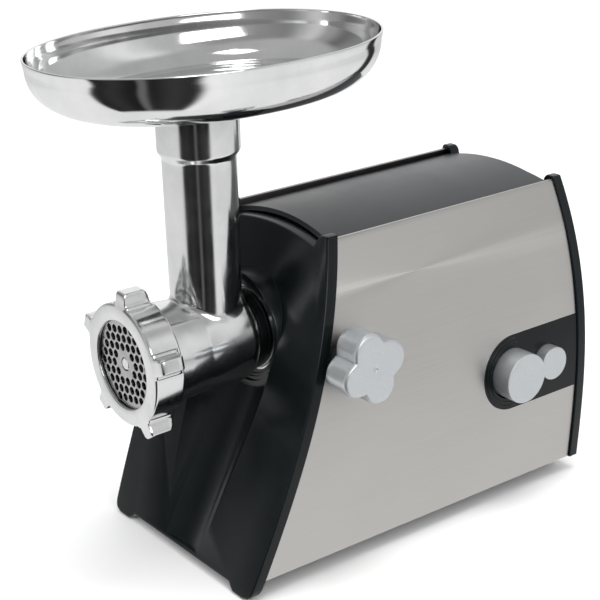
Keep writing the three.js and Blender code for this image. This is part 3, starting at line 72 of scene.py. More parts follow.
# %% [markdown]
# The parts are easiest to draw about the grinder's own lines: the housing's middle plane, the axis of the
# feed tube and the axis of the auger. The middle plane and the tube's axis come from the boxes of the
# imported parts, and the auger's height is given, so every new piece lands on the old one. Lengths below
# are in millimetres, and `world` turns them into the model's metres.

# %% The grinder's own lines
MM = 0.001
MIDDLE_X = (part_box("left_side_panel")[0].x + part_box("right_side_panel")[1].x) / 2
HEAD_REACH = 57.2
TUBE_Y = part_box("head_casting")[0].y + HEAD_REACH * MM
AUGER_Z = 139.3


def world(x, y, z):
    return Vector((MIDDLE_X + x * MM, TUBE_Y + y * MM, z * MM))


def span(node, axis):
    """Lowest and highest value of a part along one axis, in millimetres, from the grinder's own lines."""
    origin = (MIDDLE_X, TUBE_Y, 0.0)[axis]
    low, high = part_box(node)
    return (low[axis] - origin) / MM, (high[axis] - origin) / MM


print("middle plane", round(MIDDLE_X, 5), "tube axis", round(TUBE_Y, 5))

# %% [markdown]
# ## Camera
# The camera stands in front of the grinder's right side, a little above it, with a long lens, so upright
# edges stay nearly parallel. A camera can be aimed with a Track To constraint, but a matrix written out
# from azimuth, elevation and roll is exact and leaves nothing to evaluate later.

# %% Camera
LENS_MM = 94.22
AZIMUTH = math.radians(53.24)
ELEVATION = math.radians(21.01)
ROLL = math.radians(-1.52)
CAMERA_PLACE = Vector((0.73984, -0.56456, 0.50680))

back = Vector((math.sin(AZIMUTH) * math.cos(ELEVATION), -math.cos(AZIMUTH) * math.cos(ELEVATION),
               math.sin(ELEVATION)))
right = (-back).cross(Vector((0, 0, 1))).normalized()
up = right.cross(-back)
right_rolled = right * math.cos(ROLL) + up * math.sin(ROLL)
up_rolled = up * math.cos(ROLL) - right * math.sin(ROLL)
camera = bpy.data.objects.new("camera", bpy.data.cameras.new("camera"))
bpy.context.scene.collection.objects.link(camera)
camera.data.lens = LENS_MM
camera.data.clip_start = 0.05
camera.data.clip_end = 20
turn = Matrix((right_rolled, up_rolled, back)).transposed()
camera.matrix_world = Matrix.Translation(CAMERA_PLACE) @ turn.to_4x4()
bpy.context.scene.camera = camera
print("camera", [round(v, 3) for v in CAMERA_PLACE])

# %% [markdown]
# ## Floor, surroundings and lamps
# Polished aluminium shows its surroundings more than itself. In an evenly white room it would look like
# chalk, so the room needs a few dark bands between large soft lamps. They could be black cards, but a sky
# built from smooth steps of direction does the same without shadows. The floor is one plain pale sheet that
# runs out of sight. It is left out of mirror reflections, so that polished walls show the lower half of the
# sky instead of it.

# %% Floor
def link(obj):
    bpy.context.scene.collection.objects.link(obj)
    return obj


FLOOR_SIZE = 40.0
FLOOR_GAP = 0.0002
floor_mesh = bpy.data.meshes.new("studio_floor")
half_floor = FLOOR_SIZE / 2
floor_mesh.from_pydata([(-half_floor, -half_floor, 0), (half_floor, -half_floor, 0),
                        (half_floor, half_floor, 0), (-half_floor, half_floor, 0)], [], [(0, 1, 2, 3)])
floor = link(bpy.data.objects.new("studio_floor", floor_mesh))
floor.location.z = -FLOOR_GAP
floor.visible_glossy = False
floor_paint = bpy.data.materials.new("floor_paint")
floor_paint.use_nodes = True
floor_shader = floor_paint.node_tree.nodes["Principled BSDF"]
floor_shader.inputs["Base Color"].default_value = (0.93, 0.93, 0.93, 1)
floor_shader.inputs["Roughness"].default_value = 0.6
floor_mesh.materials.append(floor_paint)
bpy.context.scene.view_settings.view_transform = "Standard"

# %% [markdown]
# The sky is worked out from direction alone: the compass bearing and the height each go through smooth grey
# ramps, in four layers from straight down to straight up. Upright polished walls mirror what lies a little
# below the horizon, so that layer holds the dark bands, round the bearing of the camera. The camera's own
# view of the sky is plain white. A picture wrapped round the room would do too, but ramps are quick to move
# until each reflection falls where it should.

# %% Surroundings
studio = bpy.data.worlds.new("studio")
bpy.context.scene.world = studio
studio.use_nodes = True
sky = studio.node_tree
sky.nodes.clear()


def sky_node(kind, **values):
    node = sky.nodes.new(kind)
    for name, value in values.items():
        setattr(node, name, value)
    return node


direction = sky_node("ShaderNodeTexCoord")
split = sky_node("ShaderNodeSeparateXYZ")
sky.links.new(direction.outputs["Generated"], split.inputs[0])
heading = sky_node("ShaderNodeMath", operation="ARCTAN2")
sky.links.new(split.outputs["X"], heading.inputs[0])
sky.links.new(split.outputs["Y"], heading.inputs[1])
turns = sky_node("ShaderNodeMath", operation="MULTIPLY_ADD")
turns.inputs[1].default_value = 0.5 / math.pi
turns.inputs[2].default_value = 0.5
sky.links.new(heading.outputs[0], turns.inputs[0])


def steps(stops, source):
    """A smooth grey ramp over 0 to 1."""
    ramp = sky_node("ShaderNodeValToRGB")
    ramp.color_ramp.interpolation = "EASE"
    while len(ramp.color_ramp.elements) < len(stops):
        ramp.color_ramp.elements.new(0.5)
    for element, (place, grey) in zip(ramp.color_ramp.elements, sorted(stops)):
        element.position = place
        element.color = (grey, grey, grey, 1)
    sky.links.new(source, ramp.inputs[0])
    return ramp.outputs[0]


def plain_grey(value):
    node = sky_node("ShaderNodeRGB")
    node.outputs[0].default_value = (value, value, value, 1)
    return node.outputs[0]


def layered(low, high, share):
    """The low grey where the share is 0 and the high grey where it is 1."""
    node = sky_node("ShaderNodeMix", data_type="RGBA")
    sky.links.new(share, node.inputs["Factor"])
    sky.links.new(low, node.inputs["A"])
    sky.links.new(high, node.inputs["B"])
    return node.outputs["Result"]


# Compass bearing as a share of a turn: 0.5 looks along +Y, 0.75 along +X, 0 and 1 along -Y, 0.25 along -X.
# Height as a share from straight down, 0, through the horizon, 0.5, to straight up, 1.
DOWN_GREY = 0.88
LOW_BEARINGS = [(0.0, 0.90), (0.20, 0.91), (0.445, 0.88), (0.457, 0.04), (0.480, 0.04), (0.492, 0.92),
                (0.58, 0.91), (0.70, 0.92), (0.745, 1.0), (0.765, 0.022), (0.80, 0.04), (0.848, 0.014),
                (0.858, 0.15), (0.866, 0.15), (0.876, 0.014), (0.93, 0.035), (0.980, 0.014), (0.998, 0.90)]
LOW_FALL = [(0.29, 1.0), (0.40, 0.74)]
HIGH_BEARINGS = [(0.0, 0.60), (0.05, 0.34), (0.12, 0.16), (0.18, 0.26), (0.26, 0.60), (0.33, 1.0),
                 (0.44, 0.95), (0.50, 0.50), (0.59, 0.58), (0.635, 0.86), (0.68, 0.55), (0.76, 0.32),
                 (0.90, 0.25), (1.0, 0.60)]
TOP_GREY = 0.45
LOW_END = [(0.025, 0), (0.045, 1)]
HIGH_START = [(0.44, 0), (0.52, 1)]
TOP_START = [(0.82, 0), (0.90, 1)]
height = sky_node("ShaderNodeMath", operation="MULTIPLY_ADD")
height.inputs[1].default_value = 0.5
height.inputs[2].default_value = 0.5
sky.links.new(split.outputs["Z"], height.inputs[0])
shaded = sky_node("ShaderNodeMix", data_type="RGBA", blend_type="MULTIPLY")
shaded.inputs["Factor"].default_value = 1
sky.links.new(steps(LOW_BEARINGS, turns.outputs[0]), shaded.inputs["A"])
sky.links.new(steps(LOW_FALL, height.outputs[0]), shaded.inputs["B"])
low_grey = layered(plain_grey(DOWN_GREY), shaded.outputs["Result"], steps(LOW_END, height.outputs[0]))
high_grey = layered(low_grey, steps(HIGH_BEARINGS, turns.outputs[0]), steps(HIGH_START, height.outputs[0]))
sky_grey = layered(high_grey, plain_grey(TOP_GREY), steps(TOP_START, height.outputs[0]))
background = sky_node("ShaderNodeBackground")
background.inputs["Strength"].default_value = 1.0
sky.links.new(sky_grey, background.inputs["Color"])
white = sky_node("ShaderNodeBackground")
white.inputs["Color"].default_value = (1, 1, 1, 1)
white.inputs["Strength"].default_value = 1.0
path = sky_node("ShaderNodeLightPath")
choose = sky_node("ShaderNodeMixShader")
sky.links.new(path.outputs["Is Camera Ray"], choose.inputs[0])
sky.links.new(background.outputs[0], choose.inputs[1])
sky.links.new(white.outputs[0], choose.inputs[2])
sky_out = sky_node("ShaderNodeOutputWorld")
sky.links.new(choose.outputs[0], sky_out.inputs["Surface"])

# %% [markdown]
# The lamps are softboxes, which are area lamps aimed at the grinder, and one very wide sun for the even
# light of a white room. Small bare lamps would leave hard shadows and sparks on the metal. Three of the
# five are hidden from mirror reflections, because their outlines would show as white shapes in the tray and
# on the housing.

# %% Lamps
def softbox(name, place, aim, width, length, watts):
    lamp = bpy.data.lights.new(name, "AREA")
    lamp.shape = "RECTANGLE"
    lamp.size = width
    lamp.size_y = length
    lamp.energy = watts
    holder = link(bpy.data.objects.new(name, lamp))
    holder.location = place
    holder.rotation_mode = "QUATERNION"
    holder.rotation_quaternion = (Vector(aim) - Vector(place)).to_track_quat("-Z", "Y")
    return holder


room = bpy.data.lights.new("room_light", "SUN")
room.energy = 1.6
room.angle = math.radians(120)
link(bpy.data.objects.new("room_light", room)).visible_glossy = False
softbox("overhead_softbox", (0.1, 0.1, 1.6), (0, 0, 0.1), 0.6, 0.8, 13).visible_glossy = False
softbox("small_softbox", (0.25, 0.05, 1.6), (0, 0, 0.1), 0.22, 0.34, 1.5)
softbox("side_softbox", (1.6, -0.1, 0.9), (0, 0, 0.12), 1.0, 0.8, 9)
softbox("front_softbox", (-0.5, -1.7, 0.9), (0, 0, 0.12), 0.7, 0.9, 8).visible_glossy = False
print("floor, surroundings and 5 lamps")

# %% [markdown]
# ## Finishes
# Each finish is a Principled shader whose colour, roughness and bump vary with procedural noise in the
# object's own coordinates, so it stays put when the part moves. Image textures would need painting and
# unwrapping; noise needs neither. A small builder keeps every finish to a few lines: `grain` is the noise,
# `stretch` draws it out along an axis for brushing, and `edge_wear` brightens convex edges where hands and
# tools rub.

# %% The finish builder
class Finish:
    """A Principled material that is put together node by node."""

    def __init__(self, name, **sockets):
        self.material = bpy.data.materials.new(name)
        self.material.use_nodes = True
        self.tree = self.material.node_tree
        self.shader = self.tree.nodes["Principled BSDF"]
        self.place = self.add("ShaderNodeTexCoord").outputs["Object"]
        for socket, value in sockets.items():
            self.shader.inputs[socket.replace("_", " ")].default_value = value

    def add(self, kind, **values):
        node = self.tree.nodes.new(kind)
        for name, value in values.items():
            setattr(node, name, value)
        return node

    def wire(self, source, target):
        self.tree.links.new(source, target)

    def grain(self, scale, stretch=(1, 1, 1), detail=4, roughness=0.6):
        """Noise whose features are about 1 / scale metres across, drawn out by the stretch."""
        mapping = self.add("ShaderNodeMapping")
        mapping.inputs["Scale"].default_value = stretch
        self.wire(self.place, mapping.inputs["Vector"])
        noise = self.add("ShaderNodeTexNoise")
        noise.inputs["Scale"].default_value = scale
        noise.inputs["Detail"].default_value = detail
        noise.inputs["Roughness"].default_value = roughness
        self.wire(mapping.outputs[0], noise.inputs["Vector"])
        return noise.outputs["Fac"]

    def ranged(self, source, low, high, begin=0.3, end=0.7):
        """The noise between begin and end, turned into low to high."""
        node = self.add("ShaderNodeMapRange")
        node.inputs["From Min"].default_value = begin
        node.inputs["From Max"].default_value = end
        node.inputs["To Min"].default_value = low
        node.inputs["To Max"].default_value = high
        self.wire(source, node.inputs["Value"])
        return node.outputs["Result"]

    def shades(self, source, dark, light, begin=0.3, end=0.7):
        ramp = self.add("ShaderNodeValToRGB")
        ramp.color_ramp.elements[0].position = begin
        ramp.color_ramp.elements[0].color = (*dark, 1)
        ramp.color_ramp.elements[1].position = end
        ramp.color_ramp.elements[1].color = (*light, 1)
        self.wire(source, ramp.inputs[0])
        return ramp.outputs[0]

    def blended(self, share, first, second):
        node = self.add("ShaderNodeMix", data_type="RGBA")
        self.wire(share, node.inputs["Factor"])
        self.wire(first, node.inputs["A"])
        if isinstance(second, tuple):
            node.inputs["B"].default_value = (*second, 1)
        else:
            self.wire(second, node.inputs["B"])
        return node.outputs["Result"]

    def edge_wear(self, reach_mm=0.7):
        """1 on edges, 0 elsewhere: where a rounded normal turns away from the true one."""
        rounded = self.add("ShaderNodeBevel", samples=4)
        rounded.inputs["Radius"].default_value = reach_mm * MM
        geometry = self.add("ShaderNodeNewGeometry")
        turned_away = self.add("ShaderNodeVectorMath", operation="DOT_PRODUCT")
        self.wire(rounded.outputs["Normal"], turned_away.inputs[0])
        self.wire(geometry.outputs["Normal"], turned_away.inputs[1])
        return self.ranged(turned_away.outputs["Value"], 1, 0, 0.86, 0.985)

    def colour(self, source):
        self.wire(source, self.shader.inputs["Base Color"])
        return self

    def roughness(self, source):
        self.wire(source, self.shader.inputs["Roughness"])
        return self

    def bump(self, source, depth_mm, strength=0.5):
        node = self.add("ShaderNodeBump")
        node.inputs["Strength"].default_value = strength
        node.inputs["Distance"].default_value = depth_mm * MM
        self.wire(source, node.inputs["Height"])
        last = self.shader.inputs["Normal"]
        if last.is_linked:
            self.wire(last.links[0].from_socket, node.inputs["Normal"])
        self.wire(node.outputs["Normal"], last)
        return self


def grey(value, tint=(1, 1, 1)):
    return tuple(value * t for t in tint)


FINISHES = {}


def keep(slot, finish):
    FINISHES[slot] = finish.material
    return finish

# %% [markdown]
# The steel sides are brushed from front to back. Real brushing is thousands of fine parallel scratches:
# noise that is drawn out a hundred times along the length gives their uneven brightness, and the same noise
# as bump spreads the highlight across the grain. The sheet is also anisotropic, which stretches reflections
# up and down.

# %% Brushed steel sides
steel_sheet = keep("steel_sheet", Finish("brushed_steel_sheet", Metallic=1.0, Anisotropic=0.6,
                                         Anisotropic_Rotation=0.25))
scratches = steel_sheet.grain(900, stretch=(1.6, 0.012, 1.6), detail=6, roughness=0.75)
clouds = steel_sheet.grain(14, stretch=(1, 0.6, 1), detail=3)
brushed = steel_sheet.shades(scratches, (0.50, 0.485, 0.47), (0.62, 0.605, 0.585), 0.25, 0.75)
clouded = steel_sheet.shades(clouds, (0.54, 0.525, 0.505), (0.60, 0.585, 0.565))
mixed = steel_sheet.blended(steel_sheet.ranged(clouds, 0.25, 0.55), brushed, clouded)
steel_sheet.colour(steel_sheet.blended(steel_sheet.edge_wear(), mixed, (0.86, 0.85, 0.84)))
steel_sheet.roughness(steel_sheet.ranged(scratches, 0.30, 0.46, 0.25, 0.75))
steel_sheet.bump(scratches, 0.05, 0.25)

# %% [markdown]
# The covers are injection moulded in black, polished in the tool. Gloss black is never quite even: the
# surface sinks a little over ribs, which bends reflections, and hands leave faint smears that only show in
# the roughness. The top cover and the clamp's bush have a finer, satin version with a moulded texture.

# %% Black mouldings
black_gloss = keep("black_gloss", Finish("glossy_black_moulding", IOR=1.46, Specular_IOR_Level=0.28))
smears = black_gloss.grain(22, detail=5, roughness=0.65)
sink = black_gloss.grain(9, detail=1)
black = black_gloss.shades(smears, (0.0030, 0.0048, 0.0054), (0.0055, 0.0078, 0.0086))
black_gloss.colour(black_gloss.blended(black_gloss.edge_wear(), black, (0.022, 0.028, 0.030)))
black_gloss.roughness(black_gloss.ranged(smears, 0.16, 0.27))
black_gloss.bump(sink, 0.5, 0.05)
black_gloss.bump(black_gloss.grain(1400, detail=2), 0.01, 0.12)

black_satin = keep("black_satin", Finish("satin_black_moulding", IOR=1.5))
moulded = black_satin.grain(1900, detail=2)
dusting = black_satin.grain(18, detail=4)
satin = black_satin.shades(dusting, (0.011, 0.013, 0.015), (0.017, 0.020, 0.023))
black_satin.colour(black_satin.blended(black_satin.edge_wear(), satin, (0.045, 0.050, 0.055)))
black_satin.roughness(black_satin.ranged(dusting, 0.30, 0.40))
black_satin.bump(moulded, 0.02, 0.30)

black_matt = keep("black_matt", Finish("matt_black_moulding", IOR=1.48))
speckle = black_matt.grain(1200, detail=3)
black_matt.colour(black_matt.shades(speckle, (0.010, 0.010, 0.011), (0.020, 0.020, 0.021)))
black_matt.roughness(black_matt.ranged(speckle, 0.55, 0.72))
black_matt.bump(speckle, 0.04, 0.4)

rubber = keep("rubber", Finish("foot_rubber", IOR=1.5, Sheen_Weight=0.15, Sheen_Roughness=0.5))
powder = rubber.grain(420, detail=5)
rubber.colour(rubber.shades(powder, (0.010, 0.010, 0.010), (0.024, 0.024, 0.023)))
rubber.roughness(rubber.ranged(powder, 0.70, 0.88))
rubber.bump(powder, 0.08, 0.35)

# %% [markdown]
# The head and ring nut are aluminium castings that were machined and tumbled bright. Up close the shine has
# a faint haze, small casting pits and soft waves from hand polishing. The tray is pressed and buffed sheet,
# closer to a mirror. Both need dark surroundings to look like metal, which the sky above gives them.

# %% Aluminium
cast_aluminium = keep("cast_aluminium", Finish("polished_aluminium_casting", Metallic=1.0))
haze = cast_aluminium.grain(38, detail=5, roughness=0.6)
pits = cast_aluminium.grain(520, detail=3, roughness=0.7)
waves = cast_aluminium.grain(16, detail=2)
cast_tone = cast_aluminium.shades(haze, (0.70, 0.705, 0.71), (0.84, 0.84, 0.84))
pit_share = cast_aluminium.ranged(pits, 0.35, 0.0, 0.25, 0.36)
pitted = cast_aluminium.blended(pit_share, cast_tone, (0.42, 0.42, 0.43))
cast_aluminium.colour(cast_aluminium.blended(cast_aluminium.edge_wear(), pitted, (0.93, 0.93, 0.93)))
cast_aluminium.roughness(cast_aluminium.ranged(haze, 0.10, 0.20))
cast_aluminium.bump(waves, 0.35, 0.05)
cast_aluminium.bump(pits, 0.02, 0.12)

spun_aluminium = keep("spun_aluminium", Finish("buffed_aluminium_sheet", Metallic=1.0))
buffing = spun_aluminium.grain(260, stretch=(1, 0.08, 1), detail=4)
dents = spun_aluminium.grain(11, detail=2)
film = spun_aluminium.grain(30, detail=5)
sheet_tone = spun_aluminium.shades(film, (0.74, 0.745, 0.75), (0.86, 0.86, 0.86))
spun_aluminium.colour(spun_aluminium.blended(spun_aluminium.edge_wear(), sheet_tone, (0.95, 0.95, 0.95)))
spun_aluminium.roughness(spun_aluminium.ranged(film, 0.055, 0.13))
spun_aluminium.bump(dents, 0.6, 0.045)
spun_aluminium.bump(buffing, 0.012, 0.10)

# %% [markdown]
# The knob and buttons are plastic in a fine silver paint, so they aren't mirror bright: tiny flakes scatter
# the light. A Principled shader that is mostly metallic, with a fine grain in colour and bump, gives that
# soft satin.

# %% Satin silver paint
satin_silver = keep("satin_silver", Finish("satin_silver_paint", Metallic=0.82))
flakes = satin_silver.grain(3200, detail=2)
rubbed = satin_silver.grain(26, detail=4)
silver = satin_silver.shades(flakes, (0.50, 0.525, 0.54), (0.66, 0.685, 0.70))
satin_silver.colour(satin_silver.blended(satin_silver.edge_wear(), silver, (0.80, 0.82, 0.83)))
satin_silver.roughness(satin_silver.ranged(rubbed, 0.34, 0.44))
satin_silver.bump(flakes, 0.012, 0.22)

# %% [markdown]
# The working parts inside show only when the head is drawn out or the ring nut comes off, but they get the
# same care: ground steel with fine lines, pale nylon with flow marks, grey die castings, bronze, enamelled
# copper wire, varnished laminations and the board. One short function makes a metal and one makes a plain
# solid.

# %% Working parts
def metal_finish(slot, name, dark, light, rough, scale, stretch, depth_mm):
    made = keep(slot, Finish(name, Metallic=1.0))
    lines = made.grain(scale, stretch=stretch, detail=5, roughness=0.7)
    tone = made.shades(lines, dark, light)
    made.colour(made.blended(made.edge_wear(), tone, tuple(min(1, 1.35 * v) for v in light)))
    made.roughness(made.ranged(lines, *rough))
    made.bump(lines, depth_mm, 0.3)


def solid_finish(slot, name, dark, light, rough, scale, depth_mm, stretch=(1, 1, 1)):
    made = keep(slot, Finish(name, IOR=1.5))
    marks = made.grain(scale, stretch=stretch, detail=4)
    tone = made.shades(marks, dark, light)
    made.colour(made.blended(made.edge_wear(), tone, tuple(min(1, 1.25 * v) for v in light)))
    made.roughness(made.ranged(marks, *rough))
    made.bump(marks, depth_mm, 0.3)


metal_finish("tool_steel", "ground_steel", grey(0.40), grey(0.58), (0.20, 0.34), 700, (1, 0.08, 1), 0.02)
metal_finish("zinc", "grey_die_casting", grey(0.33, (1, 1, 0.98)), grey(0.44), (0.38, 0.55), 300,
             (1, 1, 1), 0.05)
metal_finish("bronze", "sintered_bronze", (0.30, 0.19, 0.08), (0.46, 0.31, 0.15), (0.32, 0.48), 900,
             (1, 1, 1), 0.03)
metal_finish("copper", "enamelled_copper", (0.40, 0.15, 0.07), (0.62, 0.26, 0.13), (0.22, 0.38), 1300,
             (1, 0.05, 1), 0.12)
metal_finish("lamination", "varnished_laminations", grey(0.12), grey(0.26), (0.34, 0.5), 1500,
             (0.04, 1, 0.04), 0.1)
solid_finish("nylon", "natural_nylon", (0.62, 0.59, 0.50), (0.76, 0.73, 0.65), (0.36, 0.5), 90, 0.05)
solid_finish("carbon", "carbon_block", grey(0.015), grey(0.035), (0.45, 0.65), 900, 0.05)
solid_finish("board", "green_board", (0.015, 0.07, 0.03), (0.03, 0.12, 0.055), (0.3, 0.45), 240, 0.02)

# %% [markdown]
# ## Shared shaping tools
# Nearly every part of the grinder is turned, drawn along a line, or lofted between outlines. Blender could
# do this with a Screw modifier, but writing the rings of points and joining neighbours with faces gives
# full control: the rings may change shape on the way, which the tray, the ring nut and the covers all need.

# %% Rings of points into skins
def skin(rings, cap_first=True, cap_last=True, loops=False):
    """Vertices and faces from rings of equal length; with loops, the last ring joins the first."""
    count = len(rings[0])
    points = [p for ring in rings for p in ring]
    faces = []
    last = len(rings) if loops else len(rings) - 1
    for i in range(last):
        a, b = i * count, (i + 1) % len(rings) * count
        for k in range(count):
            n = (k + 1) % count
            faces.append((a + k, a + n, b + n, b + k))
    if not loops and cap_first:
        faces.append(tuple(range(count)))
    if not loops and cap_last:
        faces.append(tuple(range((len(rings) - 1) * count, len(rings) * count)))
    return points, faces


def mesh_of(name, points, faces):
    """A closed mesh with its faces pointing out, in metres."""
    mesh = bpy.data.meshes.new(name)
    mesh.from_pydata([world(*p) for p in points], [], faces)
    shape = bmesh.new()
    shape.from_mesh(mesh)
    bmesh.ops.remove_doubles(shape, verts=shape.verts, dist=1e-7)
    bmesh.ops.dissolve_degenerate(shape, edges=shape.edges, dist=1e-7)
    bmesh.ops.recalc_face_normals(shape, faces=shape.faces)
    shape.to_mesh(mesh)
    shape.free()
    return mesh


def solid_from(name, closed_skin):
    """One object from the vertices and faces of a closed skin."""
    return link(bpy.data.objects.new(name, mesh_of(name, *closed_skin)))


def smooth(obj, degrees=32):
    obj.data.shade_smooth()
    obj.data.set_sharp_from_angle(angle=math.radians(degrees))
    return obj


def combine(target, tool, operation):
    """Joins, cuts or keeps the overlap of two closed meshes, and removes the tool."""
    change = target.modifiers.new(operation.lower(), "BOOLEAN")
    change.operation = operation
    change.solver = "EXACT"
    change.object = tool
    bpy.context.view_layer.update()
    result = bpy.data.meshes.new_from_object(target.evaluated_get(bpy.context.evaluated_depsgraph_get()))
    target.modifiers.clear()
    old = target.data
    target.data = result
    bpy.data.meshes.remove(old)
    bpy.data.objects.remove(tool)
    return target


def finished(obj, body, slot, *nodes, degrees=32):
    """Smooths a piece, gives it its finish and lets it stand for its CAD nodes."""
    smooth(obj, degrees)
    obj.data.materials.clear()
    obj.data.materials.append(FINISHES[slot])
    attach(obj, body)
    if nodes:
        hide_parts(*nodes)
    print(obj.name, len(obj.data.polygons), "faces")
    return obj


TURN = 2 * math.pi
ON_AXIS = 0.02


def ring_y(radius, y, x=0, z=0, count=96):
    return [(x + radius * math.cos(TURN * k / count), y, z + radius * math.sin(TURN * k / count))
            for k in range(count)]


def ring_z(radius, z, x=0, y=0, count=96):
    return [(x + radius * math.cos(TURN * k / count), y + radius * math.sin(TURN * k / count), z)
            for k in range(count)]


def ring_x(radius, x, y=0, z=0, count=96):
    return [(x, y + radius * math.cos(TURN * k / count), z + radius * math.sin(TURN * k / count))
            for k in range(count)]


def softened(profile, radius=0.6, cuts=4):
    """A profile of (r, h) with each corner turned into a small arc."""
    out = [profile[0]]
    for before, here, after in zip(profile, profile[1:], profile[2:]):
        to_before = Vector((before[0] - here[0], before[1] - here[1]))
        to_after = Vector((after[0] - here[0], after[1] - here[1]))
        reach = min(radius, to_before.length * 0.45, to_after.length * 0.45)
        start = Vector(here) + to_before.normalized() * reach
        end = Vector(here) + to_after.normalized() * reach
        for i in range(cuts + 1):
            t = i / cuts
            point = start * (1 - t) ** 2 + Vector(here) * 2 * t * (1 - t) + end * t ** 2
            out.append((point.x, point.y))
    out.append(profile[-1])
    return out


def turned(name, profile, ring, count=96, soft=0.6, **where):
    """A closed turned solid. The profile starts and ends on the axis, or else it closes on itself."""
    line = softened(profile, soft)
    hollow = line[0][0] > ON_AXIS
    rings = [ring(max(r, ON_AXIS), h, count=count, **where) for r, h in line]
    return solid_from(name, skin(rings, loops=hollow))


def rod(radius, low, high):
    """The profile of a plain round bar."""
    return [(0, low), (radius, low), (radius, high), (0, high)]

# %% [markdown]
# ## The tray
# The tray is one sheet of aluminium pressed into a shallow oval with a round outlet in its floor. It could
# be a cylinder pushed about with a lattice, but the change from a round outlet to an oval wall is exactly
# what a loft does well: each ring is a circle, an oval, or something between. One closed skin runs up the
# outside of the neck, out under the floor, up the wall, over the rim and back down inside.

# %% Tray
TRAY = {"half_x": 79.3, "half_y": 111.7, "centre_y": 9.7, "rim": span("hopper_tray", 2)[1], "floor": 291.2,
        "wide": 21, "tall": 26, "draft": 0.8, "sheet": 1.3, "sink": 1.2, "rim_room": 0.9}
TRAY_POWER = 2 / 2.13
TRAY_COUNT = 224
NECK = {"outer": 22.35, "throat": 20.0, "seat": 26.1, "bottom": 260, "shoulder": 284.3, "mouth": 4.5}


def oval(radius, z, inset=0.0):
    """The tray's outline: an ellipse whose sides are a little fuller, drawn in by the inset all round."""
    half_x = radius - inset
    half_y = radius * (TRAY["half_y"] / TRAY["half_x"]) - inset
    points = []
    for k in range(TRAY_COUNT):
        c, s = math.cos(TURN * k / TRAY_COUNT), math.sin(TURN * k / TRAY_COUNT)
        x = half_x * math.copysign(abs(c) ** TRAY_POWER, c)
        y = TRAY["centre_y"] + half_y * math.copysign(abs(s) ** TRAY_POWER, s)
        points.append((x, y, z))
    return points


def between(first, second, share, z):
    return [(a[0] + (b[0] - a[0]) * share, a[1] + (b[1] - a[1]) * share, z) for a, b in zip(first, second)]


def tray_corner(angle, inset):
    """A ring on the rounding between wall and floor: angle 0 is the wall, a quarter turn is the floor."""
    radius = TRAY["half_x"] - TRAY["draft"] - TRAY["wide"] * (1 - math.cos(angle))
    z = TRAY["floor"] + TRAY["tall"] * (1 - math.sin(angle)) + inset * math.sin(angle)
    return oval(radius, z, inset * math.cos(angle))


def tray_wall(share, out, inset=0.0):
    """A ring on the wall: share 0 is its foot, 1 is just below the rim, and out is how far it leans out."""
    z = TRAY["floor"] + TRAY["tall"] + share * (TRAY["rim"] - TRAY["floor"] - TRAY["tall"] - TRAY["rim_room"])
    return oval(TRAY["half_x"] - TRAY["draft"] + out, z, inset)


def tray_mouth(angle):
    """A ring on the rounding between floor and neck: angle 0 is the floor, a quarter turn is the neck."""
    level = TRAY["floor"] + TRAY["sheet"] - TRAY["sink"] - NECK["mouth"] * (1 - math.cos(angle))
    return ring_z(NECK["throat"] + NECK["mouth"] * (1 - math.sin(angle)), level, count=TRAY_COUNT)


def tray_rings():
    t, floor, rim = TRAY["sheet"], TRAY["floor"], TRAY["rim"]
    half = t / 2
    quarter = [math.pi / 2 * i / 16 for i in range(17)]
    floor_shares = [i / 12 for i in range(1, 12)]
    neck = [(NECK["throat"], NECK["bottom"] + 2), (NECK["throat"], NECK["bottom"]),
            (NECK["outer"], NECK["bottom"]), (NECK["outer"], NECK["shoulder"]),
            (NECK["seat"], NECK["shoulder"]), (NECK["seat"], floor - TRAY["sink"] - 1.5),
            (NECK["seat"] + 2, floor - TRAY["sink"])]
    rings = [ring_z(r, z, count=TRAY_COUNT) for r, z in softened(neck, 0.7)]
    under_edge = tray_corner(math.pi / 2, 0)
    under_middle = ring_z(NECK["seat"] + 2, 0, count=TRAY_COUNT)
    rings += [between(under_middle, under_edge, u, floor - TRAY["sink"] * (1 - u) ** 2) for u in floor_shares]
    rings += [tray_corner(a, 0) for a in reversed(quarter)]
    wall = [(0.3, 0.25), (0.7, 0.6), (1.0, 0.8)]
    rings += [tray_wall(u, out) for u, out in wall]
    rings += [oval(TRAY["half_x"], rim - half + half * math.sin(a), half - half * math.cos(a))
              for a in [math.pi * i / 8 for i in range(9)]]
    rings += [tray_wall(u, out, t) for u, out in reversed(wall)]
    rings += [tray_corner(a, t) for a in quarter]
    top_edge = tray_corner(math.pi / 2, t)
    lip = ring_z(NECK["throat"] + NECK["mouth"], 0, count=TRAY_COUNT)
    rings += [between(lip, top_edge, u, floor + t - TRAY["sink"] * (1 - u) ** 2)
              for u in reversed(floor_shares)]
    rings += [tray_mouth(math.pi / 2 * i / 6) for i in range(7)]
    rings.append(ring_z(NECK["throat"], (NECK["bottom"] + floor) / 2, count=TRAY_COUNT))
    return rings


tray = solid_from("tray_dish", skin(tray_rings(), loops=True))
finished(tray, "tray", "spun_aluminium", "hopper_tray", degrees=50)

# %% [markdown]
# ## The head
# The head is one casting: a barrel that holds the auger, and an upright feed tube that meets it in a
# saddle. Two turned solids joined by a boolean would meet in a hard crease, which no foundry can cast. So
# the tube's foot is lofted: every point of its last rings bends outwards to land on the barrel, and the
# join then looks cast.

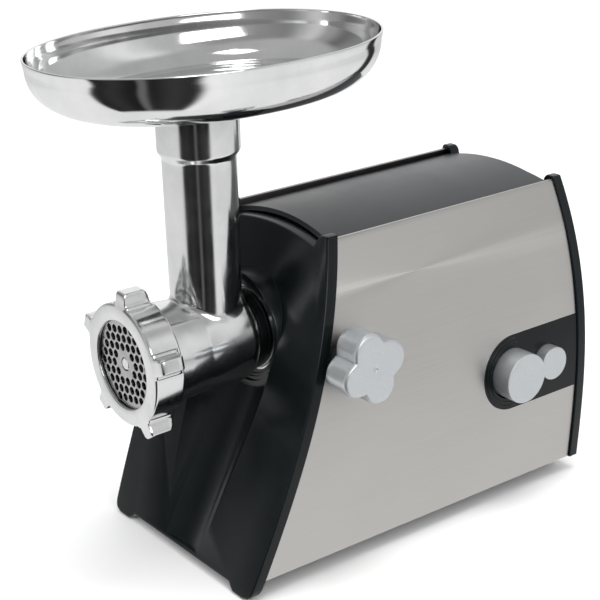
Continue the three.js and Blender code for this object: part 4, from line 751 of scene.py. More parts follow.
# %% Head casting
BARREL_RADIUS = 30
SPIGOT_RADIUS = 26
SHOULDER_Y = 13
SHOULDER_LENGTH = 8
BARREL = [(0, -HEAD_REACH), (34.2, -HEAD_REACH), (34.2, -43), (32, -41.5), (31.2, -30), (BARREL_RADIUS, -16),
          (BARREL_RADIUS, 15), (28.6, 18.4), (SPIGOT_RADIUS, 20), (SPIGOT_RADIUS, 64), (0, 64)]
CHAMBER = [(0, -58.2), (31.3, -58.2), (31.3, -49.2), (26.5, -49.2), (26.5, 18), (9.95, 18), (9.95, 65),
           (0, 65)]
THROAT = [(0, 143.3), (19.8, 143.3), (19.8, 259.7), (22.7, 259.7), (22.7, 285), (0, 285)]
TUBE = [(22.05, 184.3), (22.2, 206), (22.35, 250), (22.35, 256.6), (24.9, 260.4), (24.9, 284)]
TUBE_FOOT = 22.0
FOOT_SPREAD = 3.2
FOOT_RISE = 4.0
TUBE_COUNT = 128


def barrel_height(x, y):
    """Height above the table of the barrel's top at a place; behind the shoulder it is the spigot's top."""
    share = min(1, max(0, (y - SHOULDER_Y) / SHOULDER_LENGTH))
    radius = BARREL_RADIUS + (SPIGOT_RADIUS - BARREL_RADIUS) * share * share * (3 - 2 * share)
    return AUGER_Z + math.sqrt(max(0, radius * radius - x * x))


def foot_ring(s):
    """The tube's foot: s is 0 on the tube and 1 on the barrel."""
    ring = []
    for k in range(TUBE_COUNT):
        c, n = math.cos(TURN * k / TUBE_COUNT), math.sin(TURN * k / TUBE_COUNT)
        inner = barrel_height(TUBE_FOOT * c, TUBE_FOOT * n)
        wide = TUBE_FOOT + FOOT_SPREAD
        outer = barrel_height(wide * c, wide * n)
        radius = TUBE_FOOT + FOOT_SPREAD * s * s
        z = (inner + FOOT_RISE) * (1 - s) ** 2 + inner * 2 * s * (1 - s) + (outer - 0.05) * s * s
        ring.append((radius * c, radius * n, z))
    return ring


def about_auger(radius, y, count=96):
    return ring_y(radius, y, 0, AUGER_Z, count)


def tube_solid():
    rings = [ring_z(r, z, count=TUBE_COUNT) for r, z in reversed(softened(TUBE, 1.1, 5))]
    rings += [foot_ring(i / 8) for i in range(9)]
    rings.append([(x * 0.97, y * 0.97, z - 1.2) for x, y, z in foot_ring(1)])
    rings.append([(x * 0.5, y * 0.5, AUGER_Z + 6) for x, y, z in foot_ring(1)])
    return solid_from("feed_tube", skin(rings))


casting = turned("head_body", BARREL, about_auger, count=128, soft=1.2)
combine(casting, tube_solid(), "UNION")
combine(casting, turned("chamber_bore", CHAMBER, about_auger, soft=0.3), "DIFFERENCE")
combine(casting, turned("throat_bore", THROAT, ring_z, soft=0.3), "DIFFERENCE")
finished(casting, "head", "cast_aluminium", "head_casting", degrees=38)

# %% [markdown]
# ## The ring nut
# The nut that holds the plate has five lugs for the hand, each with a small step at its foot and a rounded
# tail. The lugs could be separate blocks joined on, but cast lugs flow into the ring. A ring of 480 spokes,
# whose length is a formula of angle and depth, draws ring and lugs as one skin.

# %% Ring nut
RING = {"front": -62.4, "rear": -42.0, "radius": 38, "opening": 27.5, "bore": 34.55, "lip": 2.5}
LUG = {"count": 5, "height": 8.6, "turn": math.radians(15), "half": 6.0, "arc_radius": 42,
       "straight": 11.4, "tail_y": -48.4, "tail": 4.6}
RING_COUNT = 480


def eased(value, low, high):
    t = min(1, max(0, (value - low) / (high - low)))
    return t * t * (3 - 2 * t)


def lug_shape(angle):
    """How far the lugs stand out at an angle, as a share of their height."""
    half_pitch = TURN / LUG["count"] / 2
    apart = (angle - LUG["turn"] + half_pitch) % (TURN / LUG["count"]) - half_pitch
    arc = abs(apart) * LUG["arc_radius"]
    ridge = 1 - eased(arc, LUG["half"] - 2.6, LUG["half"] + 0.4)
    step = 0.13 * (1 - eased(arc, LUG["half"] + 1.6, LUG["half"] + 2.6))
    return max(ridge, step)


def nut_ring(radius, y, lugs):
    points = []
    for k in range(RING_COUNT):
        angle = TURN * k / RING_COUNT
        r = radius + lugs * LUG["height"] * lug_shape(angle)
        points.append((r * math.cos(angle), y, AUGER_Z + r * math.sin(angle)))
    return points


def nut_rings():
    front, rear, radius, opening, bore = (RING[key] for key in ("front", "rear", "radius", "opening", "bore"))
    lip = front + RING["lip"]
    stations = [(opening, front + 1.6, 0), (opening, front + 0.7, 0), (opening + 0.3, front + 0.2, 0),
                (opening + 0.9, front, 0), (32, front, 0), (radius - 2.2, front, 0),
                (radius - 1.2, front + 0.2, 0), (radius - 0.6, front + 0.6, 0.1),
                (radius - 0.4, front + 0.75, 0.55), (radius - 0.2, front + 0.95, 0.86),
                (radius, front + 1.6, 0.96), (radius, front + 2.6, 1)]
    stations += [(radius, front + 2.6 + LUG["straight"] * i / 5, 1) for i in range(1, 6)]
    stations += [(radius, LUG["tail_y"] + LUG["tail"] * math.sin(a), math.cos(a))
                 for a in [math.pi / 2 * i / 7 for i in range(1, 8)]]
    stations += [(radius, rear - 0.8, 0), (radius - 0.25, rear - 0.25, 0), (radius - 0.8, rear, 0),
                 (bore + 0.5, rear, 0), (bore, rear - 0.5, 0), (bore, lip + 0.4, 0), (bore - 0.4, lip, 0),
                 (opening + 0.8, lip, 0), (opening + 0.2, front + 2.2, 0)]
    return [nut_ring(*station) for station in stations]


nut = solid_from("lugged_ring", skin(nut_rings(), loops=True))
finished(nut, "ring", "cast_aluminium", "ring_nut", degrees=50)

# %% [markdown]
# ## The grinding plate
# The plate is a steel disc drilled with a honeycomb of holes. Cutting sixty holes with booleans is slow and
# leaves poor edges. A flat curve may have curves inside it, which Blender treats as holes when it fills and
# extrudes, and its bevel gives each hole the small countersink that catches the light.

# %% Grinding plate
PLATE = {"radius": 31, "thick": 5, "front": -59.6, "hole": 2.45, "pitch": 6.2, "hub": 8.5, "field": 25.6,
         "turn": math.radians(10), "middle": 4.25, "edge": 0.22}


def plate_holes():
    found = []
    for row in range(-6, 7):
        for column in range(-12, 13):
            place = Vector(((column + row / 2) * PLATE["pitch"], row * PLATE["pitch"] * math.sqrt(0.75)))
            place.rotate(Matrix.Rotation(PLATE["turn"], 2))
            if PLATE["hub"] < place.length < PLATE["field"]:
                found.append((place.x, place.y))
    return found


def add_circle(curve, x, y, radius, count):
    spline = curve.splines.new("POLY")
    spline.points.add(count - 1)
    for k, point in enumerate(spline.points):
        point.co = (x + radius * math.cos(TURN * k / count), y + radius * math.sin(TURN * k / count), 0, 1)
    spline.use_cyclic_u = True


def drilled_plate():
    curve = bpy.data.curves.new("plate_outline", "CURVE")
    curve.dimensions = "2D"
    curve.fill_mode = "BOTH"
    edge = PLATE["edge"]
    add_circle(curve, 0, 0, PLATE["radius"] - edge, 144)
    for x, y in plate_holes():
        add_circle(curve, x, y, PLATE["hole"] + edge, 28)
    add_circle(curve, 0, 0, PLATE["middle"] + edge, 48)
    curve.extrude = PLATE["thick"] / 2 - edge
    curve.bevel_depth = edge
    curve.bevel_resolution = 2
    drawn = link(bpy.data.objects.new("plate_outline", curve))
    bpy.context.view_layer.update()
    flat = bpy.data.meshes.new_from_object(drawn.evaluated_get(bpy.context.evaluated_depsgraph_get()))
    bpy.data.objects.remove(drawn)
    middle = PLATE["front"] + PLATE["thick"] / 2
    points = [(v.co.x, middle - v.co.z, AUGER_Z + v.co.y) for v in flat.vertices]
    faces = [tuple(p.vertices) for p in flat.polygons]
    bpy.data.meshes.remove(flat)
    mesh = mesh_of("drilled_plate", points, faces)
    welded = bmesh.new()
    welded.from_mesh(mesh)
    bmesh.ops.remove_doubles(welded, verts=welded.verts, dist=2e-6)
    bmesh.ops.recalc_face_normals(welded, faces=welded.faces)
    open_edges = sum(1 for e in welded.edges if len(e.link_faces) != 2)
    welded.to_mesh(mesh)
    welded.free()
    print(len(plate_holes()), "holes,", open_edges, "open edges")
    return link(bpy.data.objects.new("drilled_plate", mesh))


finished(drilled_plate(), "plate", "tool_steel", "grinding_plate", degrees=35)

# %% [markdown]
# ## The housing's cross-section
# Seen from the front, each side of the housing swells and then leans in towards the top: one cubic Bezier
# curve gives its half width at every height. The front leans back in a straight line. Both rules are
# written once here as functions, and every cover, panel and rim below asks them where to be.

# %% Half width and lean
PANEL = {"bottom": 10.4, "top": 204.8, "sheet": 1.2, "hem": 3.0, "hem_sheet": 2.4}
SIDE_WIDTHS = (77, 83.1, 86.7, 53.2)
FRONT_FOOT_Y, FRONT_HEAD_Y, REAR_JOINT_Y = -18.8, 60, 242
FIT = 0.3
PROUD = 1.6


def half_width(z):
    t = min(1, max(0, (z - PANEL["bottom"]) / (PANEL["top"] - PANEL["bottom"])))
    s = 1 - t
    a, b, c, d = SIDE_WIDTHS
    return a * s ** 3 + 3 * b * s * s * t + 3 * c * s * t * t + d * t ** 3


def front_joint(z):
    """Where the front cover meets the sides at a height."""
    low, high = PANEL["bottom"], PANEL["top"]
    return FRONT_FOOT_Y + (FRONT_HEAD_Y - FRONT_FOOT_Y) * (z - low) / (high - low)


def levels(low, high, count):
    return [low + (high - low) * i / count for i in range(count + 1)]


# %% [markdown]
# The covers share one outline: curved sides, a round lobe at each top corner and a shallow arch between.
# Each cover is that outline lofted through a few insets, which rounds the edge that catches the light, and
# then hollowed. The front cover's outline leans with the front and ends below in two rounded feet.

# %% The covers' outline
COVER = {"wall": 2.8, "top": 207, "corner": 9, "apex": 204, "drop": 5, "bottom": 4.4, "foot_low": 0.5,
         "foot_in": 55, "edge": 1.3}


def footed_edge(inset):
    outer = half_width(PANEL["bottom"]) + PROUD
    low, inner = COVER["foot_low"], COVER["foot_in"]
    corners = [(20, COVER["bottom"]), (inner - 2, COVER["bottom"]), (inner, COVER["bottom"] - 0.2),
               (inner + 2, low + 1.6), (inner + 5, low), (outer - 8, low), (outer - 3.6, low + 1.2),
               (outer - 1.4, low + 3.6), (outer - 0.5, low + 6.6)]
    return [(x - inset * (0.6 if x > inner + 6 else -0.6 if x > inner else 0), z + inset) for x, z in corners]


def plain_edge(inset, bottom):
    outer = half_width(PANEL["bottom"]) + PROUD - inset
    return [(20, bottom + inset), (outer - 6, bottom + inset), (outer - 3.2, bottom + inset)]


def cover_outline(inset, edge):
    """The outline from the bottom middle round by the right and the top, as points of (x, z)."""
    side = [(half_width(z) + PROUD - inset, z) for z in levels(PANEL["bottom"], PANEL["top"] - 1.5, 40)]
    outer = half_width(PANEL["top"]) + PROUD - inset
    inner = outer - COVER["corner"] + 2 * inset * 0.4
    top = COVER["top"] - inset
    lobe = [(outer - 0.1, top - 1.7), (outer - 0.5, top - 0.7), (outer - 1.3, top - 0.1), (outer - 2.4, top),
            (inner + 3.4, top), (inner + 2.2, top - 0.15), (inner + 1.1, top - 0.8), (inner + 0.2, top - 2.0)]
    half = inner - 1.6
    arch = [(x, COVER["apex"] - inset - COVER["drop"] * (x / half) ** 2) for x in levels(half, 0, 18)]
    right_half = edge + side + lobe + arch
    return right_half + [(-x, z) for x, z in reversed(right_half[:-1])]


def leaning_ring(points, depth):
    return [(x, front_joint(z) + depth, z) for x, z in points]


def flat_ring(points, y):
    return [(x, y, z) for x, z in points]


ROUNDING = [(COVER["edge"] * (1 - math.cos(a)), COVER["edge"] * (1 - math.sin(a)))
            for a in [math.pi / 2 * i / 5 for i in range(6)]]

# %% [markdown]
# The front cover has a long hollow below the collar, as if a leaning cylinder had been pressed into it.
# That is how it is made here too: the shell is a union of the hollowed cover and a thicker lining for the
# hollow, a cylinder is cut out of it, and the collar is set on and bored. The exact boolean solver keeps it
# watertight.

# %% Front cover
FLANGE_DEPTH = 8.5
SCOOP = {"radius": 49, "top": 18, "bottom": 4.6, "low": 12, "half": 37, "ends": (-150, 250),
         "keep": (-120, 62), "behind": 100}
SCOOP_COUNT = 160
COLLAR = {"radius": 38, "front": 25.5, "rear": 44, "bore": 33.6, "lip": 27.6, "bore_end": 100}
CLAMP_Y = 48
BOSS_ROOM = {"radius": 12, "depth": 60}


def cover_shell():
    front = FLANGE_DEPTH
    rings = [leaning_ring(cover_outline(0.5, footed_edge(0.5)), 0),
             leaning_ring(cover_outline(0, footed_edge(0)), -0.5)]
    rings += [leaning_ring(cover_outline(inset, footed_edge(inset)), -front + reach)
              for inset, reach in ROUNDING]
    shell = solid_from("front_shell", skin(rings))
    inner = cover_outline(COVER["wall"], plain_edge(COVER["wall"], COVER["bottom"]))
    pocket = solid_from("front_pocket",
                        skin([leaning_ring(inner, COVER["wall"] - front), leaning_ring(inner, 1)]))
    return combine(shell, pocket, "DIFFERENCE")


def scoop_solid(name, grow, behind_face=None):
    """The leaning cylinder, kept as narrow as the collar, and kept behind the cover's face if asked."""
    top_z = AUGER_Z - COLLAR["radius"]
    top = Vector((front_joint(top_z) - FLANGE_DEPTH + SCOOP["top"], top_z))
    low = Vector((front_joint(SCOOP["low"]) - FLANGE_DEPTH + SCOOP["bottom"], SCOOP["low"]))
    along = (top - low).normalized()
    across = Vector((along.y, -along.x))
    centre = low - across * SCOOP["radius"]
    rings = []
    for reach in SCOOP["ends"]:
        ring = []
        for k in range(SCOOP_COUNT):
            c, n = math.cos(TURN * k / SCOOP_COUNT), math.sin(TURN * k / SCOOP_COUNT)
            place = centre + along * reach + across * (SCOOP["radius"] + grow) * c
            ring.append(((SCOOP["radius"] + grow) * n, place.x, place.y))
        rings.append(ring)
    cylinder = solid_from(name, skin(rings))
    half = SCOOP["half"] + grow
    foot = COVER["bottom"] + COVER["wall"]
    arch = [(half * math.cos(a), AUGER_Z + half * math.sin(a)) for a in levels(0, math.pi, 32)]
    keep_outline = [(half, foot)] + arch + [(-half, foot)]
    if behind_face is None:
        block = skin([flat_ring(keep_outline, y) for y in SCOOP["keep"]])
    else:
        block = skin([leaning_ring(keep_outline, behind_face), leaning_ring(keep_outline, SCOOP["behind"])])
    return combine(cylinder, solid_from("keep", block), "INTERSECT")


front = cover_shell()
combine(front, scoop_solid("scoop_lining", COVER["wall"], 1 - FLANGE_DEPTH), "UNION")
combine(front, scoop_solid("scoop", 0), "DIFFERENCE")
collar = turned("collar", rod(COLLAR["radius"], COLLAR["front"], COLLAR["rear"]), about_auger, soft=1.4)
combine(front, collar, "UNION")
combine(front, turned("collar_bore", rod(COLLAR["bore"], 0, COLLAR["bore_end"]), about_auger), "DIFFERENCE")
boss_room = turned("boss_room", rod(BOSS_ROOM["radius"], 0, BOSS_ROOM["depth"]), ring_x, count=48, y=CLAMP_Y,
                   z=AUGER_Z)
combine(front, boss_room, "DIFFERENCE")
finished(front, "housing", "black_gloss", "front_cover", degrees=28)

# %% [markdown]
# Inside the collar the cover steps down in two black rings to just clear the head's spigot. They are turned
# as their own piece, with rounded steps that show as thin concentric highlights.

# %% Collar rings
COLLAR_STEPS = [(33.3, 27.2), (33.3, 31.2), (COLLAR["lip"], 31.2), (COLLAR["lip"], 29.8), (29.4, 29.8),
                (29.4, 28.6), (31.2, 28.6), (31.2, 27.2)]
collar_rings = turned("collar_rings", COLLAR_STEPS, about_auger, count=128, soft=0.35)
finished(collar_rings, "housing", "black_gloss", degrees=40)

# %% [markdown]
# The rear cover is the same outline without the lean. Nine slots let the motor's air out and a round hole
# lets the mains lead in through a rubber gland with a few soft ribs.

# %% Rear cover
REAR = {"depth": 7.5, "bottom": 9.8, "slots": 9, "slot_pitch": 9, "slot_half": 2, "slot_low": 120,
        "slot_high": 160}
CORD_PLACE = {"x": -38, "z": 38, "hole": 8}


def slot_outline(x):
    """A slot with round ends."""
    r = REAR["slot_half"]
    top = [(x + r * math.cos(a), REAR["slot_high"] - r + r * math.sin(a)) for a in levels(0, math.pi, 8)]
    bottom = [(x + r * math.cos(a), REAR["slot_low"] + r + r * math.sin(a)) for a in levels(math.pi, TURN, 8)]
    return top + bottom


def rear_shell():
    y0 = REAR_JOINT_Y + FIT
    y1 = y0 + REAR["depth"]
    rings = [flat_ring(cover_outline(0.5, plain_edge(0.5, REAR["bottom"])), y0),
             flat_ring(cover_outline(0, plain_edge(0, REAR["bottom"])), y0 + 0.5)]
    rings += [flat_ring(cover_outline(inset, plain_edge(inset, REAR["bottom"])), y1 - reach)
              for inset, reach in ROUNDING]
    shell = solid_from("rear_shell", skin(rings))
    inner = cover_outline(COVER["wall"], plain_edge(COVER["wall"], REAR["bottom"]))
    pocket = solid_from("rear_pocket", skin([flat_ring(inner, y0 - 1), flat_ring(inner, y1 - COVER["wall"])]))
    combine(shell, pocket, "DIFFERENCE")
    for i in range(REAR["slots"]):
        x = (i - (REAR["slots"] - 1) / 2) * REAR["slot_pitch"]
        slot = skin([flat_ring(slot_outline(x), y0 - 2), flat_ring(slot_outline(x), y1 + 2)])
        combine(shell, solid_from("slot", slot), "DIFFERENCE")
    hole = turned("outlet", rod(CORD_PLACE["hole"], y0 - 2, y1 + 2), ring_y, count=48, x=CORD_PLACE["x"],
                  z=CORD_PLACE["z"])
    return combine(shell, hole, "DIFFERENCE")


finished(rear_shell(), "housing", "black_gloss", "rear_cover", degrees=28)
REAR_FACE = REAR_JOINT_Y + FIT + REAR["depth"]
GLAND = [(4.5, REAR_FACE - 8.8), (7.65, REAR_FACE - 8.8), (7.65, REAR_FACE + 0.3), (11, REAR_FACE + 0.3),
         (10.6, REAR_FACE + 1.6), (8.2, REAR_FACE + 1.9), (7.6, REAR_FACE + 2.9), (4.5, REAR_FACE + 2.9)]
gland = turned("lead_gland", GLAND, ring_y, count=64, soft=0.5, x=CORD_PLACE["x"], z=CORD_PLACE["z"])
finished(gland, "housing", "rubber", "cord_gland", degrees=45)

# %% [markdown]
# ## Steel sides
# Each side is a thin sheet bent to the curve, with its top edge folded over into a hem that shows as a
# bright line. The section is drawn once and lofted from the slanting front edge to the straight rear edge.
# On the right a round-ended window lets the control panel through, and a hole lets the clamp screw through.

# %% Side panels
CONTROL = {"z": 92, "half": 25.5, "centre_y": 182.8, "wall": 3.0, "blank_low": 60, "blank_high": 125,
           "blank_front": 100}
SCREW_HOLE = 6.8
OUTSIDE = 120


def side_section():
    """The sheet's outline, up the outside and down the inside, as points of (x, z)."""
    low, high = PANEL["bottom"], PANEL["top"]
    outside = [(half_width(z), z) for z in levels(low + 0.3, high - 0.8, 72)]
    fold = [(half_width(high) - 0.25, high - 0.25), (half_width(high) - 0.8, high),
            (half_width(high) - PANEL["hem_sheet"] + 0.6, high),
            (half_width(high) - PANEL["hem_sheet"], high - 0.5),
            (half_width(high - PANEL["hem"]) - PANEL["hem_sheet"], high - PANEL["hem"] + 0.3),
            (half_width(high - PANEL["hem"]) - PANEL["sheet"] - 0.3, high - PANEL["hem"])]
    inside = [(half_width(z) - PANEL["sheet"], z) for z in levels(high - PANEL["hem"] - 0.3, low, 60)]
    return outside + fold + inside + [(half_width(low) - 0.3, low)]


def side_solid(name, mirror):
    section = side_section()
    rings = []
    for share in (0, 0.02, 0.25, 0.5, 0.75, 0.98, 1):
        ring = []
        for x, z in section:
            start = front_joint(z) + FIT
            ring.append((mirror * x, start + (REAR_JOINT_Y - start) * share, z))
        rings.append(ring)
    return solid_from(name, skin(rings))


def control_outline(grow, count=40):
    half = CONTROL["half"] + grow
    arc = [(CONTROL["centre_y"] + half * math.cos(a), CONTROL["z"] + half * math.sin(a))
           for a in levels(math.pi / 2, 1.5 * math.pi, count)]
    return [(REAR_JOINT_Y + grow, CONTROL["z"] - half), (REAR_JOINT_Y + grow, CONTROL["z"] + half)] + arc


def prism_x(name, outline, x0, x1):
    return solid_from(name, skin([[(x, y, z) for y, z in outline] for x in (x0, x1)]))


finished(side_solid("steel_side_left", -1), "housing", "steel_sheet", "left_side_panel", degrees=30)
right_side = side_solid("steel_side_right", 1)
combine(right_side, prism_x("window", control_outline(FIT), 0, OUTSIDE), "DIFFERENCE")
screw_hole = turned("screw_hole", rod(SCREW_HOLE, 0, OUTSIDE), ring_x, count=48, y=CLAMP_Y, z=AUGER_Z)
combine(right_side, screw_hole, "DIFFERENCE")
finished(right_side, "housing", "steel_sheet", "right_side_panel", degrees=30)

# %% [markdown]
# ## Top cover and feet
# The top cover is a shallow arch between the two steel sides, drawn along the housing like an extrusion and
# cut slanting in front. It is satin, so the sky shows on it only as a soft grey sheen.

# %% Top cover
TOP = {"apex": 208, "drop": 8.5, "wall": 2.5, "skirt": 7}


def top_section():
    half = half_width(TOP["apex"] - TOP["drop"]) - PANEL["sheet"] - FIT
    edge = TOP["apex"] - TOP["drop"]
    outer = [(x, TOP["apex"] - TOP["drop"] * (x / half) ** 2) for x in levels(half - 0.6, 0.6 - half, 48)]
    inner_half = half - TOP["wall"]
    inner = [(x, TOP["apex"] - TOP["wall"] - TOP["drop"] * (x / inner_half) ** 2)
             for x in levels(-inner_half, inner_half, 32)]
    skirt = edge - TOP["skirt"]
    right_edge = [(half, skirt), (half, edge - 0.6), (half - 0.2, edge - 0.15)]
    left_edge = [(-x, z) for x, z in reversed(right_edge)]
    return right_edge + outer + left_edge + [(-inner_half, skirt)] + inner + [(inner_half, skirt)]


top_rings = []
for share in (0, 0.01, 0.3, 0.7, 0.99, 1):
    top_rings.append([(x, front_joint(z) + FIT + (REAR_JOINT_Y - front_joint(z) - FIT) * share, z)
                      for x, z in top_section()])
finished(solid_from("arched_top", skin(top_rings)), "housing", "black_satin", "top_cover", degrees=35)

# %% [markdown]
# Four rubber feet stand under the base. Each is turned from a short profile whose sole is slightly hollow,
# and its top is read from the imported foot, so that it meets the base exactly. A loop over sides and ends
# makes all four.

# %% Feet
FOOT = {"x": 36, "front_y": 12, "rear_y": 228}

for side, x in (("left", -FOOT["x"]), ("right", FOOT["x"])):
    for end, y in (("front", FOOT["front_y"]), ("rear", FOOT["rear_y"])):
        top = span(f"foot_{end}_{side}", 2)[1]
        profile = [(0, 0.5), (5.4, 0.5), (6.2, 0), (7.6, 0), (9, 1.5), (9, top), (0, top)]
        foot = turned(f"rubber_foot_{end}_{side}", profile, ring_z, count=56, soft=0.6, x=x, y=y)
        finished(foot, "housing", "rubber", f"foot_{end}_{side}", degrees=45)

# %% [markdown]
# ## Controls
# A glossy black plate follows the steel's curve in its window and carries a round well for each button. It
# could be bent with a deform modifier, but it is simpler to draw its curved section, draw that out along
# the housing and cut the window's shape from it. Two thin raised beads run round its round end.

# %% Control panel
BUTTONS = {"on_off": {"y": 182, "radius": 16.7, "face": 94.5, "travel": 4},
           "reverse": {"y": 213.5, "radius": 11.2, "face": 88.5, "travel": 3}}
PLATE_PROUD = 0.3
WELL_FLOOR = 66
WELL_WALL = 1.6
BORE_START = 40
STEM = 3.5
RUNNING = 0.35


def control_plate():
    low, high = CONTROL["blank_low"], CONTROL["blank_high"]
    section = [(half_width(z) + PLATE_PROUD, z) for z in levels(low, high, 40)]
    section += [(half_width(z) - CONTROL["wall"], z) for z in levels(high, low, 24)]
    rings = [flat_ring(section, y) for y in levels(CONTROL["blank_front"], REAR_JOINT_Y, 12)]
    plate = solid_from("controls_plate", skin(rings))
    combine(plate, prism_x("panel_shape", control_outline(0), 0, OUTSIDE), "INTERSECT")
    surface = half_width(CONTROL["z"])
    for button in BUTTONS.values():
        well = rod(button["radius"] + RUNNING + WELL_WALL, WELL_FLOOR - 2, surface - 1.5)
        combine(plate, turned("well", well, ring_x, count=72, y=button["y"], z=CONTROL["z"]), "UNION")
    for button in BUTTONS.values():
        clear = button["radius"] + RUNNING
        bore = [(0, BORE_START), (STEM + RUNNING, BORE_START), (STEM + RUNNING, WELL_FLOOR),
                (clear, WELL_FLOOR), (clear, surface - 0.7), (clear + 0.9, surface + 0.5),
                (clear + 0.9, OUTSIDE), (0, OUTSIDE)]
        combine(plate, turned("button_bore", bore, ring_x, count=72, soft=0.2, y=button["y"], z=CONTROL["z"]),
                "DIFFERENCE")
    return plate


finished(control_plate(), "housing", "black_gloss", "control_panel", degrees=28)


BEAD_STEPS = 56
BEAD_BED = 0.28
WIRE_SIDES = 12


def bead_round_end(name, radius, thick, begin, end):
    """A bead that lies on the panel and sinks into it at both ends."""
    rings = []
    for share in levels(0, 1, BEAD_STEPS):
        angle = begin + (end - begin) * share
        y = CONTROL["centre_y"] + radius * math.cos(angle)
        z = CONTROL["z"] + radius * math.sin(angle)
        height = thick * min(1, math.sin(math.pi * share) * 4) + 0.02
        ring = []
        for k in range(WIRE_SIDES):
            across = math.cos(TURN * k / WIRE_SIDES) * thick
            out = math.sin(TURN * k / WIRE_SIDES) * height
            ring.append((half_width(z) + BEAD_BED + out, y + across * math.cos(angle),
                         z + across * math.sin(angle)))
        rings.append(ring)
    return solid_from(name, skin(rings))


outer_bead = bead_round_end("panel_bead_outer", 23.3, 0.5, math.radians(84), math.radians(276))
inner_bead = bead_round_end("panel_bead_inner", 20.6, 0.45, math.radians(80), math.radians(280))
for bead in (outer_bead, inner_bead):
    finished(bead, "housing", "black_gloss", degrees=60)

# %% [markdown]
# The buttons are one cup at two sizes, turned from its profile: a face that dips very slightly to its
# middle, a crisp but rounded edge, a skirt that hides the well, and a stem that goes down to the switch.

# %% Buttons
for name, button in BUTTONS.items():
    radius, face = button["radius"], button["face"]
    tip = WELL_FLOOR - 8 + button["travel"] + 0.4
    skirt = WELL_FLOOR + button["travel"] + 3
    profile = [(0, tip), (STEM, tip), (STEM, face - 3), (radius - 3, face - 3), (radius - 3, skirt),
               (radius, skirt), (radius, face - 0.2), (radius - 0.8, face), (radius * 0.6, face - 0.12),
               (0, face - 0.25)]
    cap = turned(f"{name}_cap", profile, ring_x, count=112, soft=0.7, y=button["y"], z=CONTROL["z"])
    finished(cap, name, "satin_silver", f"{name}_button", degrees=50)

# %% [markdown]
# ## Clamp knob
# The knob has four round lobes for the fingers. Its outline comes from four circles joined by hollows.
# Lofting that outline through a quarter round gives the wide soft edge in front, and a small dimple marks
# the middle of its face. The knob is bored from behind for the screw, which keeps its own CAD solid.

# %% Knob
KNOB = {"rear": 85, "front": 103.5, "radius": 23.6, "lobe": 11.2, "turn": math.radians(17), "edge": 2.4,
        "bore": 5.15, "bore_end": 98.3, "fillet": 0.9, "fillet_turn": 0.10}
KNOB_COUNT = 240


def knob_ring(x, inset, share=1.0):
    """The lobed outline at a distance from the middle plane; share draws it in towards the centre."""
    centre = KNOB["radius"] - KNOB["lobe"]
    ring = []
    for k in range(KNOB_COUNT):
        from_lobe = (TURN * k / KNOB_COUNT) % (math.pi / 2) - math.pi / 4
        across = centre * math.sin(from_lobe)
        radius = centre * math.cos(from_lobe) + math.sqrt(KNOB["lobe"] ** 2 - across ** 2) - inset
        hollow = KNOB["fillet"] * math.exp(-((math.pi / 4 - abs(from_lobe)) / KNOB["fillet_turn"]) ** 2)
        radius = (radius + hollow) * share
        angle = KNOB["turn"] + TURN * k / KNOB_COUNT - math.pi / 4
        ring.append((x, CLAMP_Y + radius * math.cos(angle), AUGER_Z + radius * math.sin(angle)))
    return ring


def knob_circle(x, radius):
    ring = []
    for k in range(KNOB_COUNT):
        angle = KNOB["turn"] + TURN * k / KNOB_COUNT - math.pi / 4
        ring.append((x, CLAMP_Y + radius * math.cos(angle), AUGER_Z + radius * math.sin(angle)))
    return ring


rear, face, edge, bore, bore_end = (KNOB[key] for key in ("rear", "front", "edge", "bore", "bore_end"))
knob_rings = [knob_circle(bore_end, ON_AXIS), knob_circle(bore_end, bore - 0.4),
              knob_circle(bore_end - 0.4, bore), knob_circle(rear + 0.3, bore), knob_circle(rear, bore + 0.3),
              knob_ring(rear, 0.8), knob_ring(rear + 0.25, 0.25), knob_ring(rear + 0.8, 0)]
knob_rings += [knob_ring(x, 0) for x in levels(rear + 4, face - edge - 0.5, 3)]
knob_rings += [knob_ring(face - edge * (1 - math.sin(a)), edge * (1 - math.cos(a)))
               for a in levels(0, math.pi / 2, 8)]
knob_rings += [knob_ring(face - 0.02 * i, edge, 1 - 0.11 * i) for i in range(1, 7)]
DIMPLE = [(0.15, 3.2), (0.16, 1.9), (0.35, 1.5), (0.75, 0.8), (0.85, ON_AXIS)]
knob_rings += [knob_circle(face - depth, radius) for depth, radius in DIMPLE]
finished(solid_from("lobed_knob", skin(knob_rings)), "clamp", "satin_silver", "clamp_knob", degrees=50)

# %% [markdown]
# The knob turns on a short satin bush that stands on the steel side. The side leans there, so the bush's
# back is set by the widest line under it, and a thinner tail goes on through the sheet. It is one turned
# profile, bored for the screw, and it stays with the housing when the knob turns.

# %% Bush behind the knob
BUSH = {"radius": 14, "tail_radius": 6.5, "tail": 8, "shoulder": 83.4, "end": 84.7}
BUSH_REAR = half_width(AUGER_Z - BUSH["radius"]) + FIT
BUSH_TAIL = half_width(AUGER_Z + BUSH["radius"]) - PANEL["sheet"] - FIT - BUSH["tail"]
bush_profile = [(KNOB["bore"], BUSH_TAIL), (BUSH["tail_radius"], BUSH_TAIL), (BUSH["tail_radius"], BUSH_REAR),
                (BUSH["radius"], BUSH_REAR), (BUSH["radius"], BUSH["shoulder"]),
                (BUSH["radius"] - 1, BUSH["end"]), (KNOB["bore"], BUSH["end"])]
bush = turned("knob_bush", bush_profile, ring_x, count=88, soft=0.5, y=CLAMP_Y, z=AUGER_Z)
finished(bush, "housing", "black_satin", "clamp_collar", degrees=45)

# %% [markdown]
# ## Return springs
# Each button stands on a coil spring in its well. A Screw modifier could sweep the wire, but a short loop
# of rings along the helix can also lay the end turns flat, as ground springs have them.

# %% Return springs
WIRE = 0.8
COILS = 5
COIL_STEPS = 40
FLAT_END = 0.14


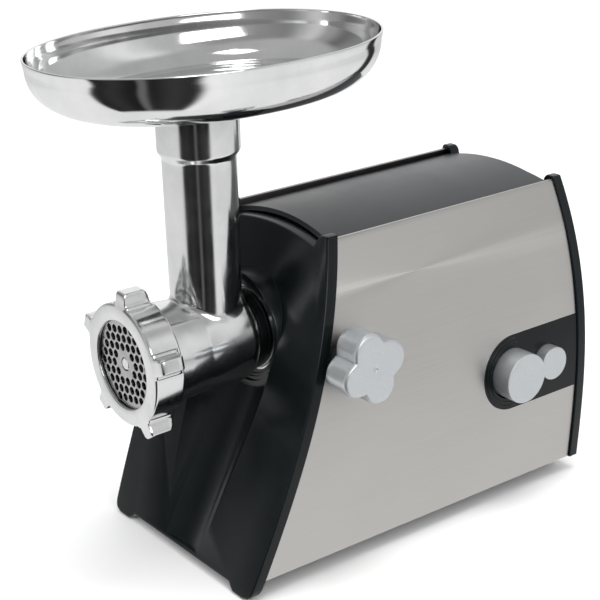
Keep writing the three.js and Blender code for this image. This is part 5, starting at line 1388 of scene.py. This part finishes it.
def return_spring(name, node):
    (low_x, high_x), (low_y, high_y), (low_z, high_z) = (span(node, axis) for axis in range(3))
    middle_y, middle_z = (low_y + high_y) / 2, (low_z + high_z) / 2
    radius = (high_y - low_y) / 2 - WIRE
    rings = []
    for share in levels(0, 1, COILS * COIL_STEPS):
        climb = min(1, max(0, (share - FLAT_END) / (1 - 2 * FLAT_END)))
        x = low_x + WIRE + climb * (high_x - low_x - 2 * WIRE)
        c, s = math.cos(TURN * COILS * share), math.sin(TURN * COILS * share)
        ring = []
        for k in range(WIRE_SIDES):
            reach = radius + WIRE * math.cos(TURN * k / WIRE_SIDES)
            rise = WIRE * math.sin(TURN * k / WIRE_SIDES)
            ring.append((x + rise, middle_y + reach * c, middle_z + reach * s))
        rings.append(ring)
    finished(solid_from(name, skin(rings)), "housing", "tool_steel", node, degrees=60)
    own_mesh(bpy.data.objects[name])


return_spring("on_off_coil", "on_off_spring")
return_spring("reverse_coil", "reverse_spring")

# %% [markdown]
# ## Working parts inside
# The auger, knife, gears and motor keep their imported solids, which are already the right shape. A small
# bevel on their sharp edges and smooth shading between them makes turned and moulded surfaces look like
# metal and nylon instead of facets. Modifiers may be added to these solids, but their own points stay as
# packed.

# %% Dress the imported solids
SLOT_OF = {part["node"]: part["material_slot"] for part in frame["record"]["subparts"]}
SMALL_EDGES = {"circuit_board": 0.2, "base_plate": 0.3, "auger": 0.4}
OTHER_EDGES = 0.25
dressed = 0
for name, node in sorted(frame["nodes"].items()):
    if node.hide_render:
        continue
    for attribute in ("custom_normal", "sharp_edge", "sharp_face"):
        if attribute in node.data.attributes:
            node.data.attributes.remove(node.data.attributes[attribute])
    node.data.shade_smooth()
    weld = node.modifiers.new("weld", "WELD")
    weld.merge_threshold = 1e-6
    edge = node.modifiers.new("soft_edges", "BEVEL")
    edge.width = SMALL_EDGES.get(name, OTHER_EDGES) * MM
    edge.segments = 2
    edge.limit_method = "ANGLE"
    edge.angle_limit = math.radians(28)
    normals = node.modifiers.new("even_normals", "WEIGHTED_NORMAL")
    normals.keep_sharp = True
    node.data.materials.clear()
    node.data.materials.append(FINISHES[SLOT_OF[name]])
    dressed += 1
print(dressed, "packed solids dressed")
